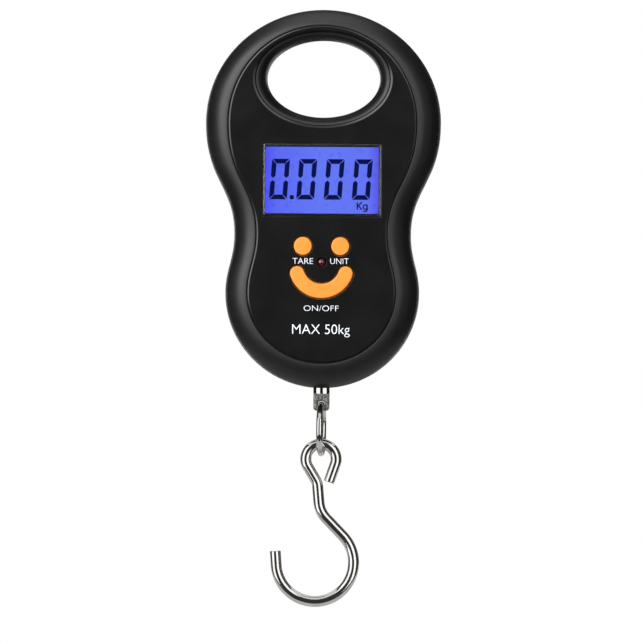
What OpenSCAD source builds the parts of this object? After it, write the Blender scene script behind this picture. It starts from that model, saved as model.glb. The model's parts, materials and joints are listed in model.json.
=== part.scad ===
// Handheld digital hanging scale: an hourglass casing with a handle hole, a backlit display, three keys,
// a load cell with a tongue that leaves the bottom, and a ring and an S-shaped hook that hang from it.
// X is to the viewer's right, Z is up and the face looks along -Y. The origin is the point that the scale
// hangs from: the middle of the top edge of the handle hole, in the parting plane of the two shells.

/* [Casing outline] */
// Half width of the upper lobe
lobe_half = 38.8; // [36:0.2:42]
// Height of the upper lobe above its widest line
lobe_rise = 37.3; // [35:0.2:40]
// Half width of the waist
waist_half = 29.15; // [27:0.1:31]
// Half width of the lower lobe
base_half = 32.0; // [30:0.2:35]
// Depth of the lower lobe below its widest line
base_drop = 31.5; // [29:0.2:34]
// Depth of each shell from the parting plane to its outermost face
shell_depth = 13; // [12.8:0.1:14]

/* [Handle hole] */
// Half width of the hole
hole_half_w = 18.7; // [17:0.1:20]
// Half height of the hole
hole_half_h = 12.7; // [11:0.1:13]
// Width of the rounded lip around the hole
lip_w = 4.2; // [3.5:0.1:4.6]

/* [Face panel] */
// Half width of the panel in the upper lobe
panel_lobe_half = 30.9; // [30:0.1:31.5]
// Height of the panel above the lobe's widest line
panel_lobe_rise = 31.9; // [31:0.1:32.5]
// Half width of the panel at the waist
panel_waist_half = 21.4; // [21:0.1:22]
// Half width of the panel in the lower lobe
panel_base_half = 24.3; // [23.5:0.1:25]
// Depth of the panel below the lower lobe's widest line
panel_base_drop = 23.1; // [22:0.1:24]
// Thickness of the panel
panel_t = 1.0; // [0.6:0.1:1.2]

/* [Display] */
// Width of the display window
window_w = 39.0; // [36:0.2:40]
// Height of the display window
window_h = 24.1; // [22:0.2:25]

/* [Keys] */
// Radius of each round key
key_r = 3.15; // [2.5:0.05:3.3]
// Distance of each round key from the middle
key_x = 6.17; // [6:0.05:7]
// Radius of the middle line of the curved key
arc_r = 8.42; // [8.2:0.05:8.6]
// Half width of the curved key's band
arc_half = 2.55; // [2:0.05:2.6]
// How far a key goes in
key_travel = 0.6; // [0.3:0.1:0.6]

/* [Ring and hook] */
// Radius of the ring's wire
ring_wire_r = 1.04; // [0.9:0.02:1.06]
// Radius of the ring's middle line
ring_r = 8.0; // [7.5:0.1:9]
// Radius of the hook's wire
hook_wire_r = 1.8; // [1.4:0.05:1.8]
// Radius of the hook's eye, to the middle of the wire
eye_r = 5.0; // [4.8:0.1:5.6]
// Radius of the hook's bowl, to the middle of the wire
bowl_r = 12.8; // [11:0.1:15]

/* [Cells] */
// Radius of each AAA cell
cell_r = 5.25; // [5.1:0.05:5.25]
// Length of each AAA cell without its raised end
cell_len = 43.5; // [43:0.1:43.5]

/* [Hidden] */
$fn = 64;
bend_step = 9;
tiny = 0.01;
over = 1;

// Heights of the outline's landmarks, from the hanging point
hole_z = -hole_half_h;
lobe_z = -27.1;
waist_z = -63.9;
base_z = -83.25;
base_end_z = base_z - base_drop;
window_z = -46.1;
key_z = -67.8;
led_z = -73.2;
arc_z = -74.16;

// Tangent lengths of the two curves that join the lobes to the waist
lobe_pull = 19.15;
waist_pull_up = 15.3;
waist_pull_down = 8.35;
base_pull = 7.7;
// Steps along the outline's four stretches on one side
lobe_steps = 18;
upper_steps = 12;
lower_steps = 8;
base_steps = 14;
outline_n = 2 * (lobe_steps + upper_steps + lower_steps + base_steps);

// Depths in the front shell, measured from the parting plane
seat_y = -shell_depth + 1.3;
panel_y = seat_y - panel_t;
ceiling_y = seat_y + 2;
// Depth of the rear shell's inner face
rear_ceiling_y = shell_depth - 2.4;
// Share of the way from the casing's outline to the panel's outline
ridge_share = 0.9;
recess_share = 0.96;
cavity_share = 0.27;
cavity_mid_share = 0.36;
cavity_top_share = 0.62;
rim_steps = 7;
rim_power = 2.3;
tube_wall = 2.2;
lip_depth = 8;
lip_steps = 4;
lip_start_y = seat_y - 0.5;
groove_w = 0.35;
oval_half_w = hole_half_w + lip_w;
oval_half_h = hole_half_h + lip_w - 1.1;

// Electronics stack
glass_back_y = -9.3;
glass_w = 42.6;
glass_h = 27;
backlight_w = 41;
backlight_top_z = -33;
backlight_h = 22.5;
board_front_y = -5.9;
board_t = 1.6;
board_back_y = board_front_y + board_t;
board_half_w = 22.5;
board_top_z = -31;
board_h = 59;
board_screw_xz = [[20, -63.5], [-20, -63.5], [18, -87], [-18, -87]];
board_screw_r = 1.0;

// Keys and switches
key_gap = 0.3;
key_proud = 0.55;
flange_t = 0.6;
flange_y = ceiling_y + 0.1;
flange_back_y = flange_y + flange_t;
flange_extra = 0.8;
arc_end_angle = 18.4;
switch_w = 6;
switch_front_y = flange_back_y + key_travel + 0.1;
plunger_r = 1.6;
plunger_len = 1.1;
led_r = 1.5;

// Load cell, its bracket and the tongue
cell_block_half = 11.5;
cell_block_y = 4;
cell_block_z = -109;
cell_block_h = 21;
beam_z = -98.5;
beam_bore_r = 2.6;
beam_bore_x = 4.2;
cut_h = 1.2;
cut_reach = 7.5;
tongue_half = 2.65;
tongue_t = 2.4;
tongue_top_z = -104.4;
tongue_end_z = -122.1;
slot_w = 1.25;
slot_x = 1.07;
slot_top_z = -110;
slot_end_z = -116.5;
tongue_pin_r = 1.2;
tongue_pin_z = -106.6;
bracket_y = cell_block_y + 0.05;
bracket_t = 1.5;
bracket_z = -93.4;
bracket_h = 5.4;
bracket_half = 18.5;
bracket_post_xz = [[15.2, -90.7], [-15.2, -90.7]];
bracket_cell_xz = [[7, -90.7], [-7, -90.7]];

// Ring and hook: the ring's top lies in the tongue's hole, and the hook's eye lies over the ring's bottom
ring_top_z = -120.1;
tongue_hole_r = 1.45;
tongue_hole_z = ring_top_z + tongue_hole_r - ring_wire_r - 0.2;
ring_centre_z = ring_top_z - ring_r;
ring_bottom_z = ring_top_z - 2 * ring_r;
// The ring hangs slightly turned about its vertical
ring_twist = -3;
link_gap = 0.14;
eye_z = ring_bottom_z + ring_wire_r + hook_wire_r + link_gap - eye_r;
eye_leg = 6.3;
eye_leg_angle = 19;
// The hook's wire from the cut end of its eye to its tip: straight length, bend radius, bend angle
hook_bends = [
    [eye_leg, eye_r, 230],
    [5.0, eye_r, -26],
    [5.34, 8.5, 39],
    [8.09, bowl_r, -220],
    [4.74, 0, 0]
];

// Housing screws
boss_xz = [[27, -20], [-27, -20], [17.5, -98], [-17.5, -98]];
screw_r = 1.3;
screw_head_r = 2.5;
screw_seat_y = 3;
front_boss_r = 3.2;
rear_boss_r = 4.3;

// Battery compartment in the rear shell: two cells side by side, standing on end
tray_half = 11.2;
tray_top_z = -34.2;
tray_h = 49.6;
tray_end_z = tray_top_z - tray_h;
tray_wall = 1.2;
tray_floor_y = -0.4;
cell_y = tray_floor_y + cell_r + 0.25;
cell_x = 5.5;
cell_nub = 1.0;
contact_t = 0.4;
contact_half = 4.6;
contact_button = 0.9;
cell_plus_gap = contact_t + contact_button + cell_nub;
spring_len = tray_h - cell_plus_gap - cell_len - contact_t;
spring_wire_r = 0.35;
spring_turns = 2.5;
door_margin = 1.6;
door_gap = 0.25;
door_t = 1.6;
door_half = tray_half + door_margin;
door_top_z = tray_top_z + door_margin;
door_end_z = tray_end_z - door_margin;
door_y = shell_depth - door_t;
door_tongue_x = 7;
door_tongue_w = 4;

// ---------- outlines ----------

function mix(a, b, t) = a + (b - a) * t;

function bezier(p, t) =
    p[0] * pow(1 - t, 3) + 3 * p[1] * pow(1 - t, 2) * t + 3 * p[2] * (1 - t) * t * t + p[3] * t * t * t;

// One side of an hourglass outline as [x, z] points, from its top to just above its lowest point
function side(lobe_w, rise, waist_w, base_w, drop) = concat(
    [for (i = [0 : lobe_steps - 1])
        let (a = 90 * i / lobe_steps)
        [lobe_w * sin(a), lobe_z + rise * cos(a)]],
    [for (i = [0 : upper_steps - 1])
        bezier([[lobe_w, lobe_z], [lobe_w, lobe_z - lobe_pull],
                [waist_w, waist_z + waist_pull_up], [waist_w, waist_z]], i / upper_steps)],
    [for (i = [0 : lower_steps - 1])
        bezier([[waist_w, waist_z], [waist_w, waist_z - waist_pull_down],
                [base_w, base_z + base_pull], [base_w, base_z]], i / lower_steps)],
    [for (i = [0 : base_steps - 1])
        let (a = 90 * i / base_steps)
        [base_w * cos(a), base_z - drop * sin(a)]]
);

// The whole outline: one side, the lowest point, and the other side mirrored
function outline(lobe_w, rise, waist_w, base_w, drop) =
    let (right = side(lobe_w, rise, waist_w, base_w, drop))
    concat(
        right,
        [[0, base_z - drop]],
        [for (i = [len(right) - 1 : -1 : 1]) [-right[i][0], right[i][1]]]
    );

casing_outline = outline(lobe_half, lobe_rise, waist_half, base_half, base_drop);
panel_outline = outline(panel_lobe_half, panel_lobe_rise, panel_waist_half, panel_base_half, panel_base_drop);

// A ring of points between the casing's outline and the panel's, at one depth
function rim_ring(share, y) = [
    for (i = [0 : outline_n - 1])
        let (p = mix(casing_outline[i], panel_outline[i], share))
        [p[0], y, p[1]]
];

// An ellipse about the hole whose points lie in line with the panel outline's points
function hole_ring(half_w, half_h, y) = [
    for (i = [0 : outline_n - 1])
        let (
            d = panel_outline[i] - [0, hole_z],
            k = 1 / norm([d[0] / half_w, d[1] / half_h])
        )
        [d[0] * k, y, hole_z + d[1] * k]
];

// Faces of a closed skin whose rings follow each other round a cross-section
function skin_faces(rings, n) = [
    for (k = [0 : rings - 1])
        for (i = [0 : n - 1])
            let (
                j = (i + 1) % n,
                m = (k + 1) % rings
            )
            each [[k * n + i, k * n + j, m * n + j], [k * n + i, m * n + j, m * n + i]]
];

module skin(rings) {
    polyhedron(
        points = [for (ring = rings) each ring],
        faces = skin_faces(len(rings), outline_n)
    );
}

// The rim's rounded profile: from the parting plane to the ridge, as [share, depth] pairs
function rim_profile(depth) = [
    for (i = [0 : rim_steps])
        let (a = 90 * i / rim_steps)
        [ridge_share * (1 - pow(cos(a), 2 / rim_power)), depth * pow(sin(a), 2 / rim_power)]
];

// The hole's lip: from its outer edge, rolling down into the hole
function lip_rings(start_y, direction) = [
    for (i = [0 : lip_steps])
        let (
            a = 90 * i / lip_steps,
            out = (lip_w - groove_w) * (1 - sin(a)),
            sink = lip_depth * (1 - cos(a))
        )
        hole_ring(
            hole_half_w + out,
            hole_half_h + out * (oval_half_h - hole_half_h) / lip_w,
            start_y - direction * sink
        )
];

// ---------- helpers ----------

// A cylinder along Y from depth y0 to depth y1
module rod(x, z, r, y0, y1) {
    translate([x, y0, z]) rotate([-90, 0, 0]) cylinder(r = r, h = y1 - y0);
}

// A box given by its limits
module block(x0, x1, y0, y1, z0, z1) {
    translate([x0, y0, z0]) cube([x1 - x0, y1 - y0, z1 - z0]);
}

// The curved key's band between two depths, grown by extra on every side
module arc_band(extra, y0, y1) {
    half = arc_half + extra;
    translate([0, y1, arc_z]) rotate([90, 0, 0]) {
        rotate([0, 0, 180 + arc_end_angle])
            rotate_extrude(angle = 180 - 2 * arc_end_angle)
                translate([arc_r - half, 0])
                    square([2 * half, y1 - y0]);
        for (a = [180 + arc_end_angle, -arc_end_angle])
            rotate([0, 0, a]) translate([arc_r, 0, 0]) cylinder(r = half, h = y1 - y0);
    }
}

// A pan-head screw along Y: the head starts at y_head, and way is +1 or -1, where the shank points
module pan_screw(x, z, y_head, way, head_r, head_h, r, len) {
    translate([x, y_head, z]) rotate([-90 * way, 0, 0]) {
        difference() {
            translate([0, 0, -head_h]) cylinder(r1 = head_r * 0.8, r2 = head_r, h = head_h);
            for (a = [0, 90])
                rotate([0, 0, a])
                    translate([-head_r * 0.55, -0.25, -head_h - tiny])
                        cube([head_r * 1.1, 0.5, head_h * 0.5]);
        }
        cylinder(r = r, h = len);
    }
}

// Points on a smooth curve through the middle of a wire with four control points
function wire_line(p, n) = [for (i = [0 : n]) bezier(p, i / n)];

// A round wire along a list of points; up is any direction that the wire never runs in
module wire(line, r, up, sides = 8) {
    last = len(line) - 1;
    rings = [
        for (k = [0 : last])
            let (
                t = line[min(k + 1, last)] - line[max(k - 1, 0)],
                d = t / norm(t),
                side = cross(d, up),
                u = side / norm(side),
                v = cross(d, u)
            )
            for (i = [0 : sides - 1])
                let (a = 360 * i / sides)
                line[k] + r * cos(a) * u + r * sin(a) * v
    ];
    walls = [
        for (k = [0 : last - 1])
            for (i = [0 : sides - 1])
                let (j = (i + 1) % sides)
                each [
                    [k * sides + i, (k + 1) * sides + j, k * sides + j],
                    [k * sides + i, (k + 1) * sides + i, (k + 1) * sides + j]
                ]
    ];
    start_cap = [for (i = [0 : sides - 1]) i];
    end_cap = [for (i = [sides - 1 : -1 : 0]) last * sides + i];
    polyhedron(points = rings, faces = concat(walls, [start_cap, end_cap]));
}

// ---------- casing ----------

module front_skin() {
    skin(concat(
        [for (p = rim_profile(-shell_depth)) rim_ring(p[0], p[1])],
        [rim_ring(recess_share, -shell_depth + 0.25)],
        [rim_ring(recess_share, seat_y)],
        [hole_ring(oval_half_w, oval_half_h, seat_y)],
        lip_rings(lip_start_y, -1),
        [hole_ring(hole_half_w, hole_half_h, 0)],
        [hole_ring(hole_half_w + tube_wall, hole_half_h + tube_wall, 0)],
        [hole_ring(hole_half_w + tube_wall + 0.6, hole_half_h + tube_wall + 0.6, ceiling_y + 2.4)],
        [hole_ring(oval_half_w + 1.7, oval_half_h + 1.7, ceiling_y)],
        [rim_ring(cavity_top_share, ceiling_y)],
        [rim_ring(cavity_mid_share, ceiling_y + 3.4)],
        [rim_ring(cavity_share, 0)]
    ));
}

module front_shell() {
    color("#1b1b1c") difference() {
        union() {
            front_skin();
            for (p = boss_xz)
                rod(p[0], p[1], front_boss_r, ceiling_y - 0.5, -0.1);
            for (p = board_screw_xz)
                rod(p[0], p[1], 2.3, ceiling_y - 0.5, board_front_y);
        }
        for (p = boss_xz)
            rod(p[0], p[1], screw_r, ceiling_y + 0.7, over);
        for (p = board_screw_xz)
            rod(p[0], p[1], board_screw_r, ceiling_y + 0.4, board_front_y + over);
        // Display opening, key openings and the indicator's hole
        block(-glass_w / 2 - 0.3, glass_w / 2 + 0.3, seat_y - over, ceiling_y + over,
              window_z - glass_h / 2 - 0.3, window_z + glass_h / 2 + 0.3);
        for (s = [-1, 1])
            rod(s * key_x, key_z, key_r + key_gap, seat_y - over, ceiling_y + over);
        arc_band(key_gap, seat_y - over, ceiling_y + over);
        rod(0, led_z, led_r + 0.15, seat_y - over, ceiling_y + over);
        tongue_opening();
    }
}

// The slot at the bottom of both shells that the tongue leaves by
module tongue_opening() {
    block(-tongue_half - 0.5, tongue_half + 0.5, -tongue_t / 2 - 0.5, tongue_t / 2 + 0.5,
          base_end_z - over, base_end_z + 4);
}

module rear_skin() {
    skin([for (ring = concat(
        [for (p = rim_profile(shell_depth)) rim_ring(p[0], p[1])],
        [rim_ring(1, shell_depth)],
        [hole_ring(oval_half_w, oval_half_h, shell_depth)],
        lip_rings(shell_depth - 0.4, 1),
        [hole_ring(hole_half_w, hole_half_h, 0)],
        [hole_ring(hole_half_w + tube_wall, hole_half_h + tube_wall, 0)],
        [hole_ring(hole_half_w + tube_wall + 0.6, hole_half_h + tube_wall + 0.6, rear_ceiling_y - 2.4)],
        [hole_ring(oval_half_w + 1.7, oval_half_h + 1.7, rear_ceiling_y)],
        [rim_ring(cavity_top_share, rear_ceiling_y)],
        [rim_ring(cavity_mid_share, rear_ceiling_y - 4)],
        [rim_ring(cavity_share, 0)]
    )) [for (i = [outline_n - 1 : -1 : 0]) ring[i]]]);
}

module rear_shell() {
    color("#1b1b1c") difference() {
        union() {
            rear_skin();
            for (p = boss_xz)
                rod(p[0], p[1], rear_boss_r, 0.1, rear_ceiling_y + 0.8);
            block(-tray_half - tray_wall, tray_half + tray_wall,
                  tray_floor_y - tray_wall, rear_ceiling_y + 0.8,
                  tray_end_z - tray_wall, tray_top_z + tray_wall);
            for (p = bracket_post_xz)
                rod(p[0], p[1], 3, bracket_y + bracket_t, rear_ceiling_y + 0.8);
        }
        // Battery compartment, the recess that its door lies in, and the slots for the door's tongues
        block(-tray_half, tray_half, tray_floor_y, shell_depth + over, tray_end_z, tray_top_z);
        block(-door_half - door_gap, door_half + door_gap, door_y - 0.1, shell_depth + over,
              door_end_z - door_gap, door_top_z + door_gap);
        for (s = [-1, 1])
            block(s * door_tongue_x - door_tongue_w / 2 - 0.3, s * door_tongue_x + door_tongue_w / 2 + 0.3,
                  9.5, door_y - 0.1 + tiny, door_end_z - 2.2, tray_end_z + tiny);
        // A thumb notch beside the door's latch
        translate([0, shell_depth - 0.9, door_top_z])
            rotate([-90, 0, 0]) cylinder(r1 = 3, r2 = 3.6, h = 2);
        // Holes for the contacts' solder tails
        for (s = [-1, 1])
            block(s * cell_x - 1.4, s * cell_x + 1.4, tray_floor_y - tray_wall - over, tray_floor_y + over,
                  tray_top_z - 1, tray_top_z + tiny);
        for (p = boss_xz) {
            rod(p[0], p[1], screw_r + 0.2, 0.1 - over, shell_depth);
            rod(p[0], p[1], screw_head_r + 0.4, screw_seat_y, shell_depth + over);
        }
        for (p = bracket_post_xz)
            rod(p[0], p[1], board_screw_r, bracket_y, rear_ceiling_y - 0.6);
        tongue_opening();
    }
}

module face_panel() {
    color("#232324") difference() {
        translate([0, seat_y, 0]) rotate([90, 0, 0])
            linear_extrude(panel_t) difference() {
                polygon(panel_outline);
                polygon([for (p = hole_ring(oval_half_w, oval_half_h, 0)) [p[0], p[2]]]);
            }
        block(-window_w / 2, window_w / 2, panel_y - over, seat_y + over,
              window_z - window_h / 2, window_z + window_h / 2);
        for (s = [-1, 1])
            rod(s * key_x, key_z, key_r + key_gap, panel_y - over, seat_y + over);
        arc_band(key_gap, panel_y - over, seat_y + over);
        rod(0, led_z, led_r + 0.15, panel_y - over, seat_y + over);
    }
}

module housing_screws() {
    color("silver")
        for (p = boss_xz)
            pan_screw(p[0], p[1], screw_seat_y, -1, screw_head_r, 1.8, screw_r - 0.02, 10);
}

// ---------- display ----------

module lcd_window() {
    color([0.8, 0.85, 0.9, 0.4])
        block(-window_w / 2 + 0.1, window_w / 2 - 0.1, panel_y + 0.15, seat_y,
              window_z - window_h / 2 + 0.1, window_z + window_h / 2 - 0.1);
}

module lcd_glass() {
    color("#5a64ff")
        block(-glass_w / 2, glass_w / 2, seat_y + 0.1, glass_back_y,
              window_z - glass_h / 2, window_z + glass_h / 2);
}

module lcd_backlight() {
    color("#c8ccff") difference() {
        block(-backlight_w / 2, backlight_w / 2, glass_back_y + 0.1, glass_back_y + 2.7,
              backlight_top_z - backlight_h, backlight_top_z);
        for (s = [-1, 1])
            rod(s * (backlight_w / 2 - 2), backlight_top_z - 2, 0.8, glass_back_y, glass_back_y + 3);
    }
}

module lcd_frame() {
    color("whitesmoke") difference() {
        block(-glass_w / 2 - 1, glass_w / 2 + 1, glass_back_y, board_front_y,
              window_z - glass_h / 2 - 0.8, window_z + glass_h / 2 + 0.8);
        block(-backlight_w / 2 - 0.3, backlight_w / 2 + 0.3, glass_back_y - over, board_front_y + over,
              window_z - glass_h / 2 + 0.6, window_z + glass_h / 2 + 0.2);
    }
}

module lcd_connector() {
    color("#d98aa0")
        block(-19.5, 19.5, glass_back_y, board_front_y, -58.6, -56.4);
}

// ---------- electronics ----------

module circuit_board() {
    color("#1d6b3c") difference() {
        block(-board_half_w, board_half_w, board_front_y, board_back_y, board_top_z - board_h, board_top_z);
        for (p = board_screw_xz)
            rod(p[0], p[1], board_screw_r + 0.2, board_front_y - over, board_back_y + over);
        for (s = [-1, 1])
            translate([s * board_half_w, 0, board_top_z - board_h]) rotate([0, 45, 0])
                block(-3, 3, board_front_y - over, board_back_y + over, -3, 3);
    }
}

module controller_chip() {
    color("#101012")
        translate([0, board_back_y, -68]) rotate([-90, 0, 0])
            rotate_extrude()
                polygon([[0, 0], [4.6, 0], [4.3, 0.6], [3.4, 1.1], [2, 1.33], [0, 1.4]]);
}

module board_components() {
    color("#8a6a3c") {
        for (i = [0 : 5])
            block(-18 + 3 * i, -16.4 + 3 * i, board_back_y, board_back_y + 0.6, -79.8, -79);
        for (i = [0 : 4])
            block(10, 12, board_back_y, board_back_y + 0.8, -66 - 2.4 * i, -64.8 - 2.4 * i);
        rod(-15, -69, 2, board_back_y, board_back_y + 2.2);
        block(13.5, 17.5, board_back_y, board_back_y + 1.2, -74, -69);
    }
}

module tact_switches() {
    color("silver") difference() {
        for (c = [[-key_x, key_z], [key_x, key_z], [0, arc_z - arc_r]])
            block(c[0] - switch_w / 2, c[0] + switch_w / 2, switch_front_y, board_front_y,
                  c[1] - switch_w / 2, c[1] + switch_w / 2);
        for (c = [[-key_x, key_z], [key_x, key_z], [0, arc_z - arc_r]])
            rod(c[0], c[1], plunger_r + 0.1, switch_front_y - over,
                flange_back_y + plunger_len + key_travel + 0.1);
    }
}

module led_indicator() {
    color("#6a0d16") {
        rod(0, led_z, led_r, panel_y + led_r - 0.3, board_front_y - 0.5);
        rod(0, led_z, led_r + 0.35, board_front_y - 1.4, board_front_y);
        intersection() {
            translate([0, panel_y + led_r - 0.3, led_z]) sphere(r = led_r);
            block(-2, 2, panel_y - 1, panel_y + led_r - 0.3, led_z - 2, led_z + 2);
        }
    }
}

module board_screws() {
    color("silver")
        for (p = board_screw_xz)
            pan_screw(p[0], p[1], board_back_y, -1, 1.9, 1.2, board_screw_r - 0.02, 4.6);
}

// ---------- keys ----------

module plunger(x, z) {
    color("#2c2c2e") rod(x, z, plunger_r, flange_back_y, flange_back_y + plunger_len);
}

module round_key(x) {
    front_y = panel_y - key_proud;
    color("#ffa838") {
        translate([x, front_y, key_z]) rotate([-90, 0, 0]) cylinder(r1 = key_r - 0.3, r2 = key_r, h = 0.3);
        rod(x, key_z, key_r, front_y + 0.3, flange_back_y);
        rod(x, key_z, key_r + flange_extra, flange_y, flange_back_y);
    }
}

module tare_plunger() { plunger(-key_x, key_z); }
module unit_plunger() { plunger(key_x, key_z); }
module power_plunger() { plunger(0, arc_z - arc_r); }
module tare_button() { round_key(-key_x); }
module unit_button() { round_key(key_x); }

module power_button() {
    front_y = panel_y - key_proud;
    color("#ffa838") {
        arc_band(-0.25, front_y, front_y + 0.25);
        arc_band(0, front_y + 0.25, flange_back_y);
        arc_band(flange_extra, flange_y, flange_back_y);
    }
}

// ---------- weighing parts ----------

module load_cell() {
    color("#b9bcc0") difference() {
        block(-cell_block_half, cell_block_half, -cell_block_y, cell_block_y,
              cell_block_z, cell_block_z + cell_block_h);
        // Two cuts from opposite sides leave a beam, and two bores joined by a slit thin it
        block(-cell_block_half - over, cut_reach, -cell_block_y - over, cell_block_y + over,
              beam_z - 4 - cut_h, beam_z - 4);
        block(-cut_reach, cell_block_half + over, -cell_block_y - over, cell_block_y + over,
              beam_z + 4, beam_z + 4 + cut_h);
        for (s = [-1, 1])
            rod(s * beam_bore_x, beam_z, beam_bore_r, -cell_block_y - over, cell_block_y + over);
        block(-beam_bore_x, beam_bore_x, -cell_block_y - over, cell_block_y + over,
              beam_z - 0.5, beam_z + 0.5);
        // The pocket and the cross bore for the tongue, and the bracket's screw holes
        block(-tongue_half - 0.05, tongue_half + 0.05, -tongue_t / 2 - 0.05, tongue_t / 2 + 0.05,
              cell_block_z - over, tongue_top_z + 0.1);
        rod(0, tongue_pin_z, tongue_pin_r, -cell_block_y - over, cell_block_y + over);
        for (p = bracket_cell_xz)
            rod(p[0], p[1], board_screw_r, cell_block_y - 5, cell_block_y + over);
    }
}

module strain_gauges() {
    color("#c98a2b") {
        for (s = [-1, 1]) {
            block(s * beam_bore_x - 1.6, s * beam_bore_x + 1.6, -2, 2, beam_z + 4, beam_z + 4.15);
            block(s * beam_bore_x - 1.6, s * beam_bore_x + 1.6, -2, 2, beam_z - 4.15, beam_z - 4);
        }
    }
}

module load_cell_bracket() {
    color("#9a9da1") difference() {
        block(-bracket_half, bracket_half, bracket_y, bracket_y + bracket_t,
              bracket_z, bracket_z + bracket_h);
        for (p = concat(bracket_post_xz, bracket_cell_xz))
            rod(p[0], p[1], board_screw_r + 0.15, bracket_y - over, bracket_y + bracket_t + over);
    }
}

module load_cell_screws() {
    color("silver") {
        for (p = bracket_cell_xz)
            pan_screw(p[0], p[1], bracket_y + bracket_t, -1, 1.9, 1.2, board_screw_r - 0.02, 5.6);
        for (p = bracket_post_xz)
            pan_screw(p[0], p[1], bracket_y, 1, 1.9, 1.2, board_screw_r - 0.02, 5);
    }
}

module load_cell_wires() {
    start_z = beam_z + 4.6;
    for (i = [0 : 3])
        color(["red", "black", "green", "white"][i])
            wire(wire_line([
                [cell_block_half + 0.2, -2.4 + 1.3 * i, start_z],
                [cell_block_half + 4, -2.4 + 1.3 * i, start_z + 1],
                [17.5 - 1.4 * i, 0.5 + 0.3 * i, -82],
                [17.5 - 1.4 * i, board_back_y + 0.15, -82.5 + 0.6 * i]
            ], 12), 0.4, [1, 1, -1]);
}

module hook_plate() {
    corner_r = 1.2;
    color("#8d8f8c") difference() {
        union() {
            block(-tongue_half, tongue_half, -tongue_t / 2, tongue_t / 2,
                  tongue_end_z + corner_r, tongue_top_z);
            block(-tongue_half + corner_r, tongue_half - corner_r, -tongue_t / 2, tongue_t / 2,
                  tongue_end_z, tongue_end_z + corner_r + tiny);
            for (s = [-1, 1])
                rod(s * (tongue_half - corner_r), tongue_end_z + corner_r, corner_r,
                    -tongue_t / 2, tongue_t / 2);
        }
        for (s = [-1, 1])
            block(s * slot_x - slot_w / 2, s * slot_x + slot_w / 2, -tongue_t, tongue_t,
                  slot_end_z, slot_top_z);
        rod(0, tongue_pin_z, tongue_pin_r, -tongue_t, tongue_t);
        rod(0, tongue_hole_z, tongue_hole_r, -tongue_t, tongue_t);
        // Chamfers at both mouths of the ring's hole
        for (s = [-1, 1])
            translate([0, s * (tongue_t / 2 + tiny), tongue_hole_z])
                rotate([90 * s, 0, 0])
                    cylinder(r1 = tongue_hole_r + 0.3, r2 = tongue_hole_r, h = 0.3);
    }
}

module hook_plate_pin() {
    color("silver") rod(0, tongue_pin_z, tongue_pin_r - 0.02, -cell_block_y + 0.2, cell_block_y - 0.2);
}

// ---------- cells and their compartment ----------

// A cell standing on end at x, with its raised end up (way = 1) or down (way = -1)
module aaa_cell(x, way) {
    middle_z = (tray_top_z + tray_end_z) / 2 + way * (spring_len + contact_t - cell_plus_gap) / 2;
    color("#3b5d8c") translate([x, cell_y, middle_z]) rotate([0, way > 0 ? 0 : 180, 0]) {
        translate([0, 0, -cell_len / 2 + 0.4]) cylinder(r = cell_r, h = cell_len - 0.4);
        translate([0, 0, -cell_len / 2]) cylinder(r = cell_r - 0.6, h = 0.5);
        translate([0, 0, cell_len / 2 - tiny]) cylinder(r = 1.9, h = cell_nub + tiny);
    }
}

module battery_1() { aaa_cell(-cell_x, 1); }
module battery_2() { aaa_cell(cell_x, -1); }

// A cone-shaped coil from a contact plate to the flat end of a cell; the plate is below (way = 1) or above
module cell_spring(x, way) {
    steps = 36;
    plate_z = way > 0 ? tray_end_z + contact_t : tray_top_z - contact_t;
    inset = spring_wire_r + 0.02;
    line = [
        for (k = [0 : steps])
            let (
                t = k / steps,
                a = 360 * spring_turns * t,
                r = mix(3.6, 2.2, t)
            )
            [x + r * cos(a), cell_y + r * sin(a), plate_z + way * mix(inset, spring_len - inset, t)]
    ];
    wire(line, spring_wire_r, [0, 0, 1]);
}

module battery_springs() {
    color("silver") {
        cell_spring(-cell_x, 1);
        cell_spring(cell_x, -1);
    }
}

// A contact's raised button, on a plate at height z, standing up (way = 1) or down
module contact_button_cone(x, z, way) {
    translate([x, cell_y, z - way * tiny]) rotate([0, way > 0 ? 0 : 180, 0])
        cylinder(r1 = 3, r2 = 2.2, h = contact_button + tiny);
}

module battery_contacts() {
    color("silver") {
        // At the top one plate for each cell, and at the bottom one plate that joins both
        for (s = [-1, 1]) {
            block(s * cell_x - contact_half, s * cell_x + contact_half, cell_y - contact_half,
                  cell_y + contact_half, tray_top_z - contact_t, tray_top_z);
            // Solder tails through the compartment's floor
            block(s * cell_x - 1, s * cell_x + 1,
                  tray_floor_y - tray_wall - 0.8, cell_y - contact_half + tiny,
                  tray_top_z - contact_t, tray_top_z);
        }
        block(-cell_x - contact_half, cell_x + contact_half, cell_y - contact_half, cell_y + contact_half,
              tray_end_z, tray_end_z + contact_t);
        contact_button_cone(-cell_x, tray_top_z - contact_t, -1);
        contact_button_cone(cell_x, tray_end_z + contact_t, 1);
    }
}

module battery_wires() {
    tail_y = tray_floor_y - tray_wall - 0.8;
    for (s = [-1, 1])
        color(s < 0 ? "red" : "black")
            wire(wire_line([
                [s * (cell_x + 0.5), tail_y - 0.45, tray_top_z - 0.2],
                [s * (cell_x + 3), tail_y - 0.5, tray_top_z - 0.5],
                [s * (cell_x + 4), board_back_y + 1.4, tray_top_z - 3],
                [s * (cell_x + 4), board_back_y + 0.4, tray_top_z - 5]
            ], 12), 0.4, [1, 1, 1]);
}

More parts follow.
